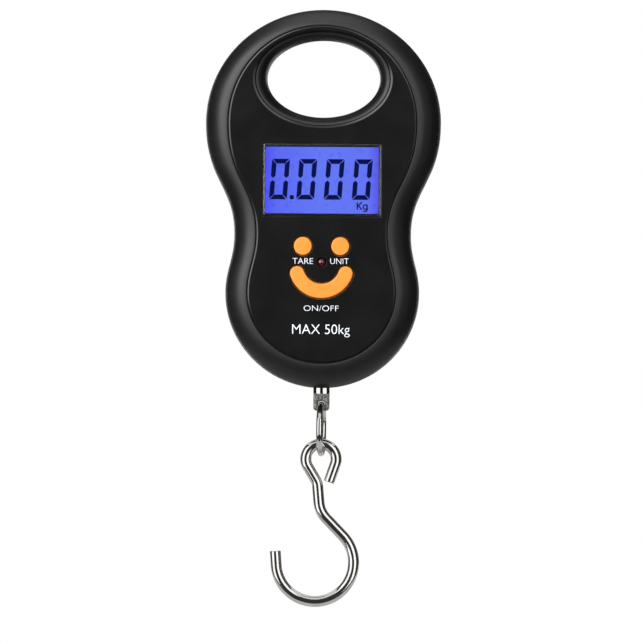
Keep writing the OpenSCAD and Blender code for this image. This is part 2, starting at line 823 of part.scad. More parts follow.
module battery_door() {
    color("#1b1b1c") difference() {
        union() {
            block(-door_half, door_half, door_y, shell_depth, door_end_z, door_top_z);
            // Tongues under the shell's edge, each with a step that joins it to the door
            for (s = [-1, 1]) {
                block(s * door_tongue_x - door_tongue_w / 2, s * door_tongue_x + door_tongue_w / 2,
                      door_y - 1.2, door_y - 0.3, door_end_z - 1.6, door_end_z + 3);
                block(s * door_tongue_x - door_tongue_w / 2, s * door_tongue_x + door_tongue_w / 2,
                      door_y - 1.2, door_y + tiny, door_end_z + door_margin + 0.2, door_end_z + 3);
            }
            // The latch tab and a stiffening rib between the cells
            block(-4, 4, door_y - 3, door_y + tiny,
                  door_top_z - door_margin - 1.8, door_top_z - door_margin - 0.8);
            block(-0.4, 0.4, door_y - 0.9, door_y + tiny, door_end_z + 6, door_top_z - 6);
        }
        // Grip grooves near the latch
        for (i = [0 : 4])
            block(-6, 6, shell_depth - 0.4, shell_depth + over,
                  door_top_z - 4.4 - 1.6 * i, door_top_z - 3.6 - 1.6 * i);
    }
}

// ---------- ring and hook ----------

module link_ring() {
    color("#c9cbce")
        translate([0, 0, ring_centre_z]) rotate([0, 0, ring_twist]) rotate([0, 90, 0])
            rotate_extrude() translate([ring_r, 0]) circle(r = ring_wire_r);
}

// Points along a bent wire in the XZ plane, from a start point and a heading angle in degrees
function bent_line(bends, start, heading, i = 0) =
    i == len(bends) ? [start] :
    let (
        straight = bends[i][0],
        radius = bends[i][1],
        angle = bends[i][2],
        turn = sign(angle),
        corner = start + straight * [cos(heading), 0, sin(heading)],
        centre = corner + turn * radius * [-sin(heading), 0, cos(heading)],
        steps = max(1, ceil(abs(angle) / bend_step)),
        round_points = [
            for (k = [0 : steps - 1])
                let (h = heading + angle * k / steps)
                centre + turn * radius * [sin(h), 0, -cos(h)]
        ],
        end_heading = heading + angle,
        end = centre + turn * radius * [sin(end_heading), 0, -cos(end_heading)]
    )
    concat([start], angle == 0 ? [] : round_points, bent_line(bends, end, end_heading, i + 1));

module hook() {
    // The cut end of the eye, down and in from where the leg meets the eye's circle
    start = [
        eye_r * cos(eye_leg_angle) - eye_leg * sin(eye_leg_angle),
        0,
        eye_z - eye_r * sin(eye_leg_angle) - eye_leg * cos(eye_leg_angle)
    ];
    color("#c9cbce") wire(bent_line(hook_bends, start, 90 - eye_leg_angle), hook_wire_r, [0, 1, 0], 16);
}

front_shell();
rear_shell();
face_panel();
lcd_window();
lcd_glass();
lcd_backlight();
lcd_frame();
lcd_connector();
circuit_board();
controller_chip();
board_components();
tact_switches();
led_indicator();
tare_plunger();
unit_plunger();
power_plunger();
tare_button();
unit_button();
power_button();
load_cell();
strain_gauges();
load_cell_bracket();
load_cell_screws();
load_cell_wires();
hook_plate();
hook_plate_pin();
battery_1();
battery_2();
battery_springs();
battery_contacts();
battery_wires();
battery_door();
housing_screws();
board_screws();
link_ring();
hook();
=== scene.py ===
import json
from math import ceil, copysign, cos, degrees, exp, pi, radians, sin, tan

import bmesh
import bpy
import numpy as np
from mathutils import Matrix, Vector
from mathutils.geometry import tessellate_polygon

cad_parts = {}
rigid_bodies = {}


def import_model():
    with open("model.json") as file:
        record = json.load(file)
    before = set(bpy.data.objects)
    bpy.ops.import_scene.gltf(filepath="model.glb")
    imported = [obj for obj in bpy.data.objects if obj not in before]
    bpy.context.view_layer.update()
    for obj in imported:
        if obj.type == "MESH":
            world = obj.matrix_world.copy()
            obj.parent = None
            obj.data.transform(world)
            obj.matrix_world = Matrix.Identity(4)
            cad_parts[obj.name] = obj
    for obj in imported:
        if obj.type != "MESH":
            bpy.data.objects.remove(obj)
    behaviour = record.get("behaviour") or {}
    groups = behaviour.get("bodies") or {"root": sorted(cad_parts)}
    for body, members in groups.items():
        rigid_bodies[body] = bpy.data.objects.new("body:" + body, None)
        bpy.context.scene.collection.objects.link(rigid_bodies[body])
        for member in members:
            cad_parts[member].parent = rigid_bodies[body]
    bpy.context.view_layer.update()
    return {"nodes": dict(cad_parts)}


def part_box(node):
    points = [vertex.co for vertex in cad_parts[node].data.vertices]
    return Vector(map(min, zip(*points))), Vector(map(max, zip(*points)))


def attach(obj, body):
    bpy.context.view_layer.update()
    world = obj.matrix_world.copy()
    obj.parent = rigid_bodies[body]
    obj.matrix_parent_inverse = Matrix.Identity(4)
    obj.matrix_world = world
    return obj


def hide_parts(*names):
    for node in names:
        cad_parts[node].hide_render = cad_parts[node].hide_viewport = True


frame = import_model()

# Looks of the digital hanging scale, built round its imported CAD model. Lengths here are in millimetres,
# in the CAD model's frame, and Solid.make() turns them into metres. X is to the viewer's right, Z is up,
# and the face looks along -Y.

MM = 0.001


def limits(node):
    """Lowest and highest corner of a CAD node, in millimetres."""
    low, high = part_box(node)
    return low / MM, high / MM


# ---------- sizes ----------

casing_low, casing_high = limits("front_shell")
panel_low, panel_high = limits("face_panel")
glass_low, glass_high = limits("lcd_glass")
power_low, power_high = limits("power_button")
lamp_low, lamp_high = limits("led_indicator")
door_low, door_high = limits("battery_door")
tongue_low, tongue_high = limits("hook_plate")

# Heights of the outline's landmarks, and the tangent lengths of the curves that join the lobes to the waist
LOBE_Z = -27.1
WAIST_Z = -63.9
BASE_Z = -83.25
LOBE_PULL = 19.15
WAIST_PULL_UP = 15.3
WAIST_PULL_DOWN = 8.35
BASE_PULL = 7.7
OUTLINE_STEPS = (44, 34, 22, 36)

CASING_WAIST = 29.15
CASING_BASE = 32.0
PANEL_WAIST = 21.4
PANEL_BASE = 24.3

# Handle hole, and the lip round it, which is wider at the sides than above and below
HOLE_HALF_W = 18.7
HOLE_HALF_H = 12.7
HOLE_Z = -HOLE_HALF_H
LIP_W = 3.7
LIP_H = 2.85
LIP_LEDGE = 0.35
LIP_DEPTH = 8.0
LIP_STEPS = 14
FRONT_LIP_DROP = 0.5
REAR_LIP_DROP = 0.4
# The lip's outer edge on the back, as (distance outwards, depth)
REAR_LIP_EDGE = ((0.5, 0), (0.25, 0.03), (0.07, 0.13), (0, 0.3))

# Depths
DEPTH = -casing_low.y
SEAT_Y = panel_high.y
PANEL_Y = panel_low.y
CEILING_Y = SEAT_Y + 2
REAR_CEILING_Y = DEPTH - 2.4
BOARD_Y = -5.9

# Rim between the casing's outline and the panel's, as shares of the way from one to the other
RIDGE_SHARE = 0.93
RECESS_SHARE = 0.96
RIDGE_FALL = ((0.945, 0.03), (0.957, 0.15), (RECESS_SHARE, 0.45))
RIM_POWER = 2.3
RIM_STEPS = 26
FRONT_TURN = radians(84)
REAR_TURN = radians(90)
# Groove at the parting line, as (share, depth) outside and as (distance outwards, depth) in the hole
PARTING = ((0.035, 0.02), (0.012, 0.14), (0.0, 0.36))
HOLE_PARTING = ((0, 0.36), (0.04, 0.14), (0.25, 0.02))

# Inside of the shells
TUBE_WALL = 2.2
TUBE_FOOT = 2.8
TUBE_FOOT_H = 2.4
LIP_WALL = 1.7
CEILING_SHARE = 0.62
CORNER_SHARE = 0.36
WALL_SHARE = 0.27
FRONT_CORNER = 3.4
REAR_CORNER = 4
# How far a cutting solid reaches past what it cuts
OVER = 1

# Screws and the posts that take them
BOSS_XZ = ((27, -20), (-27, -20), (17.5, -98), (-17.5, -98))
FRONT_BOSS_R = 3.2
REAR_BOSS_R = 4.3
SCREW_SEAT_Y = 3.0
SCREW_R = 1.3
HEAD_R = 2.5
CROSS_HALF = 1.35
CROSS_SLOT = 0.28
CROSS_FLOOR = 0.85
BOARD_SCREW_XZ = ((20, -63.5), (-20, -63.5), (18, -87), (-18, -87))
BOARD_POST_R = 2.3
BRACKET_XZ = ((15.2, -90.7), (-15.2, -90.7))
BRACKET_POST_R = 3
BRACKET_Y = 5.55
PILOT_R = 1.0

# Keys, lamp and display
ROUND_KEYS = ("tare_button", "unit_button")
KEY_GAP = 0.3
FLANGE = 0.8
FLANGE_T = 0.6
KEY_EDGE = 0.42
KEY_SLIM = 0.17
ARC_R = 8.42
ARC_HALF = 2.55
ARC_END = 18.4
ARC_Z = power_low.z + ARC_R + ARC_HALF + FLANGE
ARC_STEPS = 48
ARC_END_STEPS = 20
LAMP_R = 1.5
LAMP_HOLE_R = 1.65
LAMP_Z = (lamp_low.z + lamp_high.z) / 2
WINDOW_W = 39.0
WINDOW_H = 24.1
WINDOW_Z = (glass_low.z + glass_high.z) / 2

# Raised edges of the panel: its outline, the hole's oval, the window and the small openings
PANEL_EDGE = 0.42
OVAL_EDGE = 0.62
WINDOW_EDGE = 0.1
OPENING_EDGE = 0.05
EDGE_SLOPE = 0.38
LENS_SLOPE = 0.32

# Digits of the display, and the shape of their bars
DIGIT_W = 5.9
DIGIT_H = 13.35
DIGIT_Z = -45.8
DIGIT_X = (-14.06, -5.08, 3.97, 13.22)
BAR = 1.55
CORNER = 0.12
BAR_GAP = 0.10
MIDDLE_GAP = 0.32
SLANT = tan(radians(4.3))
POINT_BOX = (-10.65, -9.25, -52.45, -51.05)
POINT_CORNER = 0.45
PRINT_T = 0.03
PRINT_Y = glass_low.y - 0.01
LIT_HALF_W = 18.7
LIT_HALF_H = 10.95
LIT_X = -0.05

# The unit sign's pen, the strokes of its K, and the middle and size of its g
PEN = 0.21
K_STROKES = (
    ((11.65, -53.3), (11.65, -55.75)),
    ((13.05, -53.3), (11.8, -54.65)),
    ((12.05, -54.45), (13.15, -55.75)),
)
G_X = 14.25
G_Z = -54.85
G_HALF_W = 0.65
G_HALF_H = 0.75
G_STEM = ((14.9, -54.0), (14.9, -55.6))
G_TAIL_Z = -55.75
G_TAIL_H = 0.55

# Battery tray and door
TRAY_HALF = 11.2
TRAY_TOP = -34.2
TRAY_END = -83.8
TRAY_FLOOR_Y = -0.4
TRAY_WALL = 1.2
CELL_X = 5.5
CONTACT_SLOT_HALF = 1.4
DOOR_END = TRAY_END - 1.6
DOOR_Y = DEPTH - 1.6
DOOR_GAP = 0.25
CATCH_X = 7
CATCH_HALF = 2
CATCH_T = 1.2
CATCH_SLOT_HALF = 2.3
CATCH_SLOT_Y = 9.5
GRIP_GROOVES = 5
GRIP_PITCH = 1.6
GRIP_HALF_W = 6
GRIP_HALF_H = 0.4

# Tongue
SLOT_X = 1.07
SLOT_HALF = 0.625
SLOT_TOP = -110
SLOT_END = -116.5
EYELET_Z = -120.12
EYELET_R = 1.22
PIN_Z = -106.6
PIN_HOLE_R = 1.2

# Ring and hook
RING_R = 1.04
RING_TWIST = radians(-3)
RING_STEPS = 144
WELD_AT = 20
WELD_SPREAD = 3.2
WELD_SHARE = 0.05
HOOK_R = 1.8
HOOK_END_EDGE = 0.28
EYE_R = 5.0
EYE_LEG = 6.3
EYE_LEG_ANGLE = 19
# From the cut end of the eye to the tip: straight length, bend radius, bend angle
HOOK_BENDS = ((EYE_LEG, EYE_R, 230), (5.0, EYE_R, -26), (5.34, 8.5, 39), (8.09, 12.8, -220), (4.74, 0, 0))


# ---------- mesh tools ----------

# Smoothing angle of pieces that are flat with sloping edges, so that their flats shade as flat
FLAT_SMOOTH = 12


class Solid:
    """Points and faces in millimetres, gathered until make() turns them into one object."""

    def __init__(self):
        self.points = []
        self.faces = []

    def add(self, points, faces):
        start = len(self.points)
        self.points.extend(tuple(p) for p in points)
        self.faces.extend(tuple(start + i for i in face) for face in faces)
        return self

    def skin(self, rings, closed=False):
        """Quads between rings of equal length. closed joins the last ring to the first; otherwise both
        ends get caps."""
        n = len(rings[0])
        count = len(rings)
        faces = []
        for k in range(count if closed else count - 1):
            m = (k + 1) % count
            for i in range(n):
                j = (i + 1) % n
                faces.append((k * n + i, k * n + j, m * n + j, m * n + i))
        if not closed:
            faces.append(tuple(range(n)))
            faces.append(tuple(range((count - 1) * n, count * n))[::-1])
        return self.add([p for ring in rings for p in ring], faces)

    def block(self, x0, x1, y0, y1, z0, z1):
        rings = [[(x0, y, z0), (x1, y, z0), (x1, y, z1), (x0, y, z1)] for y in (y0, y1)]
        return self.skin(rings)

    def lathe(self, x, z, profile, sides=72):
        """A solid of revolution about the line through (x, z) along Y. profile holds (radius, y) pairs."""
        return self.skin([[(x + r * cos(a), y, z + r * sin(a)) for a in around(sides)]
                          for r, y in profile])

    def rod(self, x, z, r, y0, y1, sides=72):
        return self.lathe(x, z, [(r, y0), (r, y1)], sides)

    def plate(self, loops, y0, y1, edge=0.0, back_edge=0.0, steps=4, flat=1.0):
        """A flat piece from y0 to y1. loops holds its outline and then its holes, each as (points, width
        of its front edge), where None stands for edge. flat is how deep a front edge is for its width."""
        rings = []
        for k, (points, own_edge) in enumerate(loops):
            front = edge if own_edge is None else own_edge
            points = wound(points, 1 if k == 0 else -1)
            rings.append(
                [
                    (inset(points, front * (1 - sin(a))), y0 + flat * front * (1 - cos(a)))
                    for a in quarter(steps if front else 0)
                ]
                + [
                    (inset(points, back_edge * (1 - cos(a))), y1 - back_edge * (1 - sin(a)))
                    for a in quarter(steps if back_edge else 0)
                ]
            )
        start_of = []
        points = []
        faces = []
        for stack in rings:
            n = len(stack[0][0])
            start_of.append((len(points), n, len(stack)))
            start = len(points)
            for ring, y in stack:
                points.extend((p[0], y, p[1]) for p in ring)
            for s in range(len(stack) - 1):
                for i in range(n):
                    j = (i + 1) % n
                    a = start + s * n
                    faces.append((a + i, a + j, a + n + j, a + n + i))
        for last in (False, True):
            loops_3d = []
            numbers = []
            for (start, n, depth), stack in zip(start_of, rings):
                ring = stack[-1 if last else 0][0]
                loops_3d.append([Vector((p[0], p[1], 0)) for p in ring])
                first = start + (depth - 1) * n if last else start
                numbers.extend(range(first, first + n))
            faces.extend(tuple(numbers[i] for i in t) for t in tessellate_polygon(loops_3d))
        return self.add(points, faces)

    def tube(self, line, radii, up, sides=40):
        """A round wire along a list of points, with a radius at each; up is a direction that the wire
        never runs in."""
        line = np.array(line, float)
        last = len(line) - 1
        rings = []
        for k, p in enumerate(line):
            d = line[min(k + 1, last)] - line[max(k - 1, 0)]
            side = np.cross(d / np.linalg.norm(d), up)
            u = side / np.linalg.norm(side)
            v = np.cross(d / np.linalg.norm(d), u)
            rings.append([p + radii[k] * (cos(a) * u + sin(a) * v) for a in around(sides)])
        return self.skin(rings)

    def make(self, name, smooth=35):
        """The finished object, in metres. Edges that turn more than smooth degrees stay sharp."""
        mesh = bpy.data.meshes.new(name)
        mesh.from_pydata([(x * MM, y * MM, z * MM) for x, y, z in self.points], [], self.faces)
        tidy_mesh(mesh, smooth)
        return add_object(name, mesh)


def add_object(name, data):
    obj = bpy.data.objects.new(name, data)
    bpy.context.scene.collection.objects.link(obj)
    return obj


def tidy_mesh(mesh, smooth):
    """Joins points that coincide, turns normals outwards and marks sharp edges."""
    work = bmesh.new()
    work.from_mesh(mesh)
    bmesh.ops.remove_doubles(work, verts=work.verts, dist=1e-7)
    bmesh.ops.dissolve_degenerate(work, dist=1e-8, edges=work.edges)
    bmesh.ops.recalc_face_normals(work, faces=work.faces)
    work.to_mesh(mesh)
    work.free()
    mesh.shade_smooth()
    mesh.set_sharp_from_angle(angle=radians(smooth))


def combine(target, solid, operation, smooth=35):
    """Adds a Solid to the target object, or cuts it away."""
    tool = solid.make("tool")
    change = target.modifiers.new("change", "BOOLEAN")
    change.operation = operation
    change.solver = "EXACT"
    change.object = tool
    view = bpy.context.evaluated_depsgraph_get()
    mesh = bpy.data.meshes.new_from_object(target.evaluated_get(view))
    target.modifiers.clear()
    target.data = mesh
    bpy.data.objects.remove(tool)
    tidy_mesh(mesh, smooth)


def around(n):
    """Angles of n even steps round a full turn."""
    return [2 * pi * i / n for i in range(n)]


def quarter(steps):
    """Angles from 0 to a quarter turn, or only the quarter turn if there are no steps."""
    return [pi / 2 * (i / steps if steps else 1) for i in range(steps + 1)]


def wound(points, way):
    """The loop as an array, anticlockwise for way 1 and clockwise for way -1."""
    p = np.array(points, float)
    q = np.roll(p, -1, axis=0)
    area = np.sum(p[:, 0] * q[:, 1] - q[:, 0] * p[:, 1])
    return p if area * way > 0 else p[::-1]


def inset(points, amount):
    """The loop moved to its left by amount, which is into the material."""
    ahead = np.roll(points, -1, axis=0) - points
    ahead = ahead / np.linalg.norm(ahead, axis=1)[:, None]
    behind = np.roll(ahead, 1, axis=0)
    turn = ahead + behind
    normal = np.stack([-turn[:, 1], turn[:, 0]], axis=1)
    share = 1 + np.sum(ahead * behind, axis=1)
    return points + amount * normal / share[:, None]


def ellipse(x, z, half_w, half_h, n=160):
    return [(x + half_w * cos(a), z + half_h * sin(a)) for a in around(n)]


def circle(x, z, r, n=72):
    return ellipse(x, z, r, r, n)


def rounded_box(x0, x1, z0, z1, r, steps=6):
    """A rectangle with round corners."""
    corners = [(x1 - r, z1 - r, 0), (x0 + r, z1 - r, 90), (x0 + r, z0 + r, 180), (x1 - r, z0 + r, 270)]
    return [(cx + r * cos(radians(start + 90 * k / steps)),
             cz + r * sin(radians(start + 90 * k / steps)))
            for cx, cz, start in corners for k in range(steps + 1)]


# ---------- casing ----------

def bezier(p, q, r, s, t):
    p, q, r, s = (np.array(c) for c in (p, q, r, s))
    return p * (1 - t) ** 3 + 3 * q * (1 - t) ** 2 * t + 3 * r * (1 - t) * t * t + s * t ** 3


def outline(lobe, rise, waist, base, drop):
    """The hourglass outline as (x, z) points, clockwise from its top."""
    lobe_n, upper_n, lower_n, base_n = OUTLINE_STEPS
    right = [(lobe * sin(a), LOBE_Z + rise * cos(a))
             for a in (pi / 2 * i / lobe_n for i in range(lobe_n))]
    right += [bezier((lobe, LOBE_Z), (lobe, LOBE_Z - LOBE_PULL), (waist, WAIST_Z + WAIST_PULL_UP),
                     (waist, WAIST_Z), i / upper_n) for i in range(upper_n)]
    right += [bezier((waist, WAIST_Z), (waist, WAIST_Z - WAIST_PULL_DOWN), (base, BASE_Z + BASE_PULL),
                     (base, BASE_Z), i / lower_n) for i in range(lower_n)]
    right += [(base * cos(a), BASE_Z - drop * sin(a))
              for a in (pi / 2 * i / base_n for i in range(base_n))]
    left = [(-x, z) for x, z in right[:0:-1]]
    return np.array(right + [(0, BASE_Z - drop)] + left)


CASING_LINE = outline(
    casing_high.x, casing_high.z - LOBE_Z, CASING_WAIST, CASING_BASE, BASE_Z - casing_low.z
)
PANEL_LINE = outline(
    panel_high.x, panel_high.z - LOBE_Z, PANEL_WAIST, PANEL_BASE, BASE_Z - panel_low.z
)
TO_PANEL = PANEL_LINE - np.array((0, HOLE_Z))


def rim_ring(share, y):
    """A ring between the casing's outline and the panel's."""
    p = CASING_LINE * (1 - share) + PANEL_LINE * share
    return [(x, y, z) for x, z in p]


def hole_ring(extra_w, extra_h, y):
    """An ellipse round the handle hole whose points lie in line with the panel outline's."""
    half = np.array((HOLE_HALF_W + extra_w, HOLE_HALF_H + extra_h))
    p = TO_PANEL / np.linalg.norm(TO_PANEL / half, axis=1)[:, None]
    return [(x, y, HOLE_Z + z) for x, z in p]


def rim_profile(turn):
    """The rounded rim from the parting line to the ridge, which turns through an angle, as (share, depth)."""
    full_share = 1 - max(0.0, cos(turn)) ** (2 / RIM_POWER)
    full_depth = sin(turn) ** (2 / RIM_POWER)
    pairs = list(PARTING)
    for i in range(1, RIM_STEPS + 1):
        t = i / RIM_STEPS
        a = turn / 2 * (t + sin(pi / 2 * t))
        share = 1 - max(0.0, cos(a)) ** (2 / RIM_POWER)
        depth = sin(a) ** (2 / RIM_POWER)
        pairs.append((RIDGE_SHARE * share / full_share, DEPTH * depth / full_depth))
    return pairs


def lip_profile(start):
    """The hole's lip, rolling down into the hole, as (extra width, extra height, depth)."""
    rings = []
    for a in quarter(LIP_STEPS):
        out = (LIP_W - LIP_LEDGE) * (1 - sin(a))
        rings.append((out, out * LIP_H / LIP_W, start - LIP_DEPTH * (1 - cos(a))))
    return rings + [(out, out, depth) for out, depth in HOLE_PARTING]


def hollow(ceiling, foot_y, corner_y):
    """Rings of a shell's inside, from the handle hole's tube over the ceiling to the rim's wall."""
    return [
        hole_ring(TUBE_WALL, TUBE_WALL, 0),
        hole_ring(TUBE_FOOT, TUBE_FOOT, foot_y),
        hole_ring(LIP_W + LIP_WALL, LIP_H + LIP_WALL, ceiling),
        rim_ring(CEILING_SHARE, ceiling),
        rim_ring(CORNER_SHARE, corner_y),
        rim_ring(WALL_SHARE, 0),
    ]


def cut_tongue_opening(shell):
    """The opening in the shell's lower end that the tongue comes out of."""
    gap = 0.5
    opening = Solid().block(
        tongue_low.x - gap, tongue_high.x + gap, tongue_low.y - gap, tongue_high.y + gap,
        casing_low.z - OVER, casing_low.z + 4
    )
    combine(shell, opening, "DIFFERENCE")


def arc_band(extra):
    """The outline of the curved key's band, grown by extra on every side."""
    half = ARC_HALF + extra
    span = 180 - 2 * ARC_END
    sweep = [radians(180 + ARC_END + span * i / ARC_STEPS) for i in range(ARC_STEPS + 1)]
    points = [((ARC_R + half) * cos(a), ARC_Z + (ARC_R + half) * sin(a)) for a in sweep]
    for k in range(1, ARC_END_STEPS):
        a = radians(-ARC_END + 180 * k / ARC_END_STEPS)
        points.append((ARC_R * cos(sweep[-1]) + half * cos(a),
                       ARC_Z + ARC_R * sin(sweep[-1]) + half * sin(a)))
    points += [((ARC_R - half) * cos(a), ARC_Z + (ARC_R - half) * sin(a)) for a in sweep[::-1]]
    for k in range(1, ARC_END_STEPS):
        a = radians(ARC_END + 180 * k / ARC_END_STEPS)
        points.append((ARC_R * cos(sweep[0]) + half * cos(a),
                       ARC_Z + ARC_R * sin(sweep[0]) + half * sin(a)))
    return points


def key_centre(node):
    """A round key's middle and the radius of its cap."""
    low, high = limits(node)
    return (low.x + high.x) / 2, (low.z + high.z) / 2, (high.x - low.x) / 2 - FLANGE


def make_front_shell():
    rings = [rim_ring(share, -depth) for share, depth in rim_profile(FRONT_TURN)]
    rings += [rim_ring(share, -DEPTH + depth) for share, depth in RIDGE_FALL]
    rings += [rim_ring(RECESS_SHARE, SEAT_Y), hole_ring(LIP_W, LIP_H, SEAT_Y)]
    rings += [hole_ring(w, h, -depth) for w, h, depth in lip_profile(-SEAT_Y + FRONT_LIP_DROP)]
    rings += hollow(CEILING_Y, CEILING_Y + TUBE_FOOT_H, CEILING_Y + FRONT_CORNER)
    shell = Solid().skin(rings, closed=True).make("front_shell_skin")
    posts = Solid()
    for x, z in BOSS_XZ:
        posts.rod(x, z, FRONT_BOSS_R, CEILING_Y - 0.5, -0.1, 40)
    for x, z in BOARD_SCREW_XZ:
        posts.rod(x, z, BOARD_POST_R, CEILING_Y - 0.5, BOARD_Y, 40)
    combine(shell, posts, "UNION")
    cuts = Solid()
    for x, z in BOSS_XZ:
        cuts.rod(x, z, SCREW_R, CEILING_Y + 0.7, OVER, 32)
    for x, z in BOARD_SCREW_XZ:
        cuts.rod(x, z, PILOT_R, CEILING_Y + 0.4, BOARD_Y + OVER, 32)
    near, far = SEAT_Y - OVER, CEILING_Y + OVER
    gap = 0.3
    cuts.block(glass_low.x - gap, glass_high.x + gap, near, far, glass_low.z - gap, glass_high.z + gap)
    for node in ROUND_KEYS:
        x, z, r = key_centre(node)
        cuts.rod(x, z, r + KEY_GAP, near, far)
    cuts.plate([(arc_band(KEY_GAP), 0)], near, far)
    cuts.rod(0, LAMP_Z, LAMP_HOLE_R, near, far)
    combine(shell, cuts, "DIFFERENCE")
    cut_tongue_opening(shell)
    return shell


def make_rear_shell():
    rings = [rim_ring(share, depth) for share, depth in rim_profile(REAR_TURN)]
    rings += [rim_ring(1, DEPTH)]
    rings += [hole_ring(LIP_W + out, LIP_H + out, DEPTH - depth) for out, depth in REAR_LIP_EDGE]
    rings += [hole_ring(w, h, depth) for w, h, depth in lip_profile(DEPTH - REAR_LIP_DROP)]
    rings += hollow(REAR_CEILING_Y, REAR_CEILING_Y - TUBE_FOOT_H, REAR_CEILING_Y - REAR_CORNER)
    shell = Solid().skin(rings, closed=True).make("rear_shell_skin")
    into_back = REAR_CEILING_Y + 0.8
    posts = Solid()
    for x, z in BOSS_XZ:
        posts.rod(x, z, REAR_BOSS_R, 0.1, into_back, 48)
    for x, z in BRACKET_XZ:
        posts.rod(x, z, BRACKET_POST_R, BRACKET_Y, into_back, 48)
    combine(shell, posts, "UNION")
    tray_out = TRAY_HALF + TRAY_WALL
    tray = Solid().block(
        -tray_out, tray_out, TRAY_FLOOR_Y - TRAY_WALL, into_back, TRAY_END - TRAY_WALL, TRAY_TOP + TRAY_WALL
    )
    combine(shell, tray, "UNION")
    cut_screw_holes(shell)
    tray = Solid().block(-TRAY_HALF, TRAY_HALF, TRAY_FLOOR_Y, DEPTH + OVER, TRAY_END, TRAY_TOP)
    combine(shell, tray, "DIFFERENCE")
    cut_door_seat(shell)
    cut_tongue_opening(shell)
    return shell


def cut_screw_holes(shell):
    """The casing screws' deep holes and the bracket screws' pilot holes."""
    cuts = Solid()
    shank = SCREW_R + 0.2
    wide = HEAD_R + 0.4
    for x, z in BOSS_XZ:
        profile = [(shank, -0.9), (shank, SCREW_SEAT_Y), (wide, SCREW_SEAT_Y), (wide, DEPTH - 0.35)]
        cuts.lathe(x, z, profile + [(wide + 0.5, DEPTH + 0.15)], 64)
    for x, z in BRACKET_XZ:
        cuts.rod(x, z, PILOT_R, 4, REAR_CEILING_Y - 0.6, 32)
    combine(shell, cuts, "DIFFERENCE")


def cut_door_seat(shell):
    """The door's recess, its thumb notch, and the slots for its catches and for the cells' contacts."""
    seat = rounded_box(
        door_low.x - DOOR_GAP, door_high.x + DOOR_GAP, DOOR_END - DOOR_GAP, door_high.z + DOOR_GAP, 0.8
    )
    combine(shell, Solid().plate([(seat, 0)], DOOR_Y - 0.1, DEPTH + OVER), "DIFFERENCE")
    notch = [(3, DEPTH - 0.9), (3.3, DEPTH - 0.4), (3.9, DEPTH + 0.2)]
    combine(shell, Solid().lathe(0, door_high.z, notch, 64), "DIFFERENCE")
    slots = Solid()
    for side in (-1, 1):
        x = side * CATCH_X
        slots.block(x - CATCH_SLOT_HALF, x + CATCH_SLOT_HALF, CATCH_SLOT_Y, DOOR_Y - 0.09,
                    DOOR_END - 2.2, TRAY_END + 0.5)
        x = side * CELL_X
        slots.block(x - CONTACT_SLOT_HALF, x + CONTACT_SLOT_HALF, TRAY_FLOOR_Y - 2.2, TRAY_FLOOR_Y + 1,
                    TRAY_TOP - 1, TRAY_TOP + 0.01)
    combine(shell, slots, "DIFFERENCE")


def make_face_panel():
    """The face panel with its openings, each with a raised edge of its own width."""
    window = rounded_box(
        -WINDOW_W / 2, WINDOW_W / 2, WINDOW_Z - WINDOW_H / 2, WINDOW_Z + WINDOW_H / 2, 0.3
    )
    oval = ellipse(0, HOLE_Z, HOLE_HALF_W + LIP_W, HOLE_HALF_H + LIP_H)
    loops = [(PANEL_LINE, PANEL_EDGE), (oval, OVAL_EDGE), (window, WINDOW_EDGE)]
    for node in ROUND_KEYS:
        x, z, r = key_centre(node)
        loops.append((circle(x, z, r + KEY_GAP), OPENING_EDGE))
    loops.append((arc_band(KEY_GAP), OPENING_EDGE))
    loops.append((circle(0, LAMP_Z, LAMP_HOLE_R, 48), OPENING_EDGE))
    plate = Solid().plate(loops, PANEL_Y, SEAT_Y, steps=1, flat=EDGE_SLOPE)
    return plate.make("face_panel_plate", FLAT_SMOOTH)


# ---------- display ----------

def digit_zero():
    """The six lit bars of a seven-bar nought, about its own middle."""
    w, h, b = DIGIT_W / 2, DIGIT_H / 2, BAR
    top = [(-w + CORNER + BAR_GAP, h), (w - CORNER - BAR_GAP, h), (w - b - BAR_GAP * 0.4, h - b),
           (-w + b + BAR_GAP * 0.4, h - b)]
    side = [(-w, h - CORNER - BAR_GAP), (-w + b, h - b - BAR_GAP * 1.6), (-w + b, MIDDLE_GAP + b / 2),
            (-w + b / 2, MIDDLE_GAP), (-w, MIDDLE_GAP + b / 2)]
    bars = [top, [(x, -z) for x, z in top]]
    for sx in (1, -1):
        for sz in (1, -1):
            bars.append([(sx * x, sz * z) for x, z in side])
    return bars


def make_digits():
    """Four noughts and a point, on the front of the display glass."""
    solid = Solid()
    for cx in DIGIT_X:
        for bar in digit_zero():
            loop = [(cx + x + SLANT * z, DIGIT_Z + z) for x, z in bar]
            solid.plate([(loop, 0)], PRINT_Y - PRINT_T, PRINT_Y)
    solid.plate([(rounded_box(*POINT_BOX, POINT_CORNER), 0)], PRINT_Y - PRINT_T, PRINT_Y)
    return solid.make("display_digits")


def band(line, half):
    """The outline of a stroke of a pen that is twice half wide, along a list of points."""
    line = np.array(line, float)
    ahead = np.gradient(line, axis=0)
    ahead = ahead / np.linalg.norm(ahead, axis=1)[:, None]
    across = half * np.stack([-ahead[:, 1], ahead[:, 0]], axis=1)
    return [tuple(p) for p in np.concatenate([line + across, (line - across)[::-1]])]


def make_unit_sign():
    """The display's small Kg, drawn with a pen."""
    turns = [radians(12 * k) for k in range(13)]
    tail = [(G_X + G_HALF_W * cos(a), G_TAIL_Z - G_TAIL_H * sin(a)) for a in turns]
    solid = Solid()
    for line in (*K_STROKES, [*G_STEM, *tail]):
        solid.plate([(band(line, PEN), 0)], PRINT_Y - PRINT_T, PRINT_Y)
    bowl = [(ellipse(G_X, G_Z, r + G_HALF_W, r + G_HALF_H, 32), 0) for r in (PEN, -PEN)]
    return solid.plate(bowl, PRINT_Y - PRINT_T, PRINT_Y).make("display_kg")


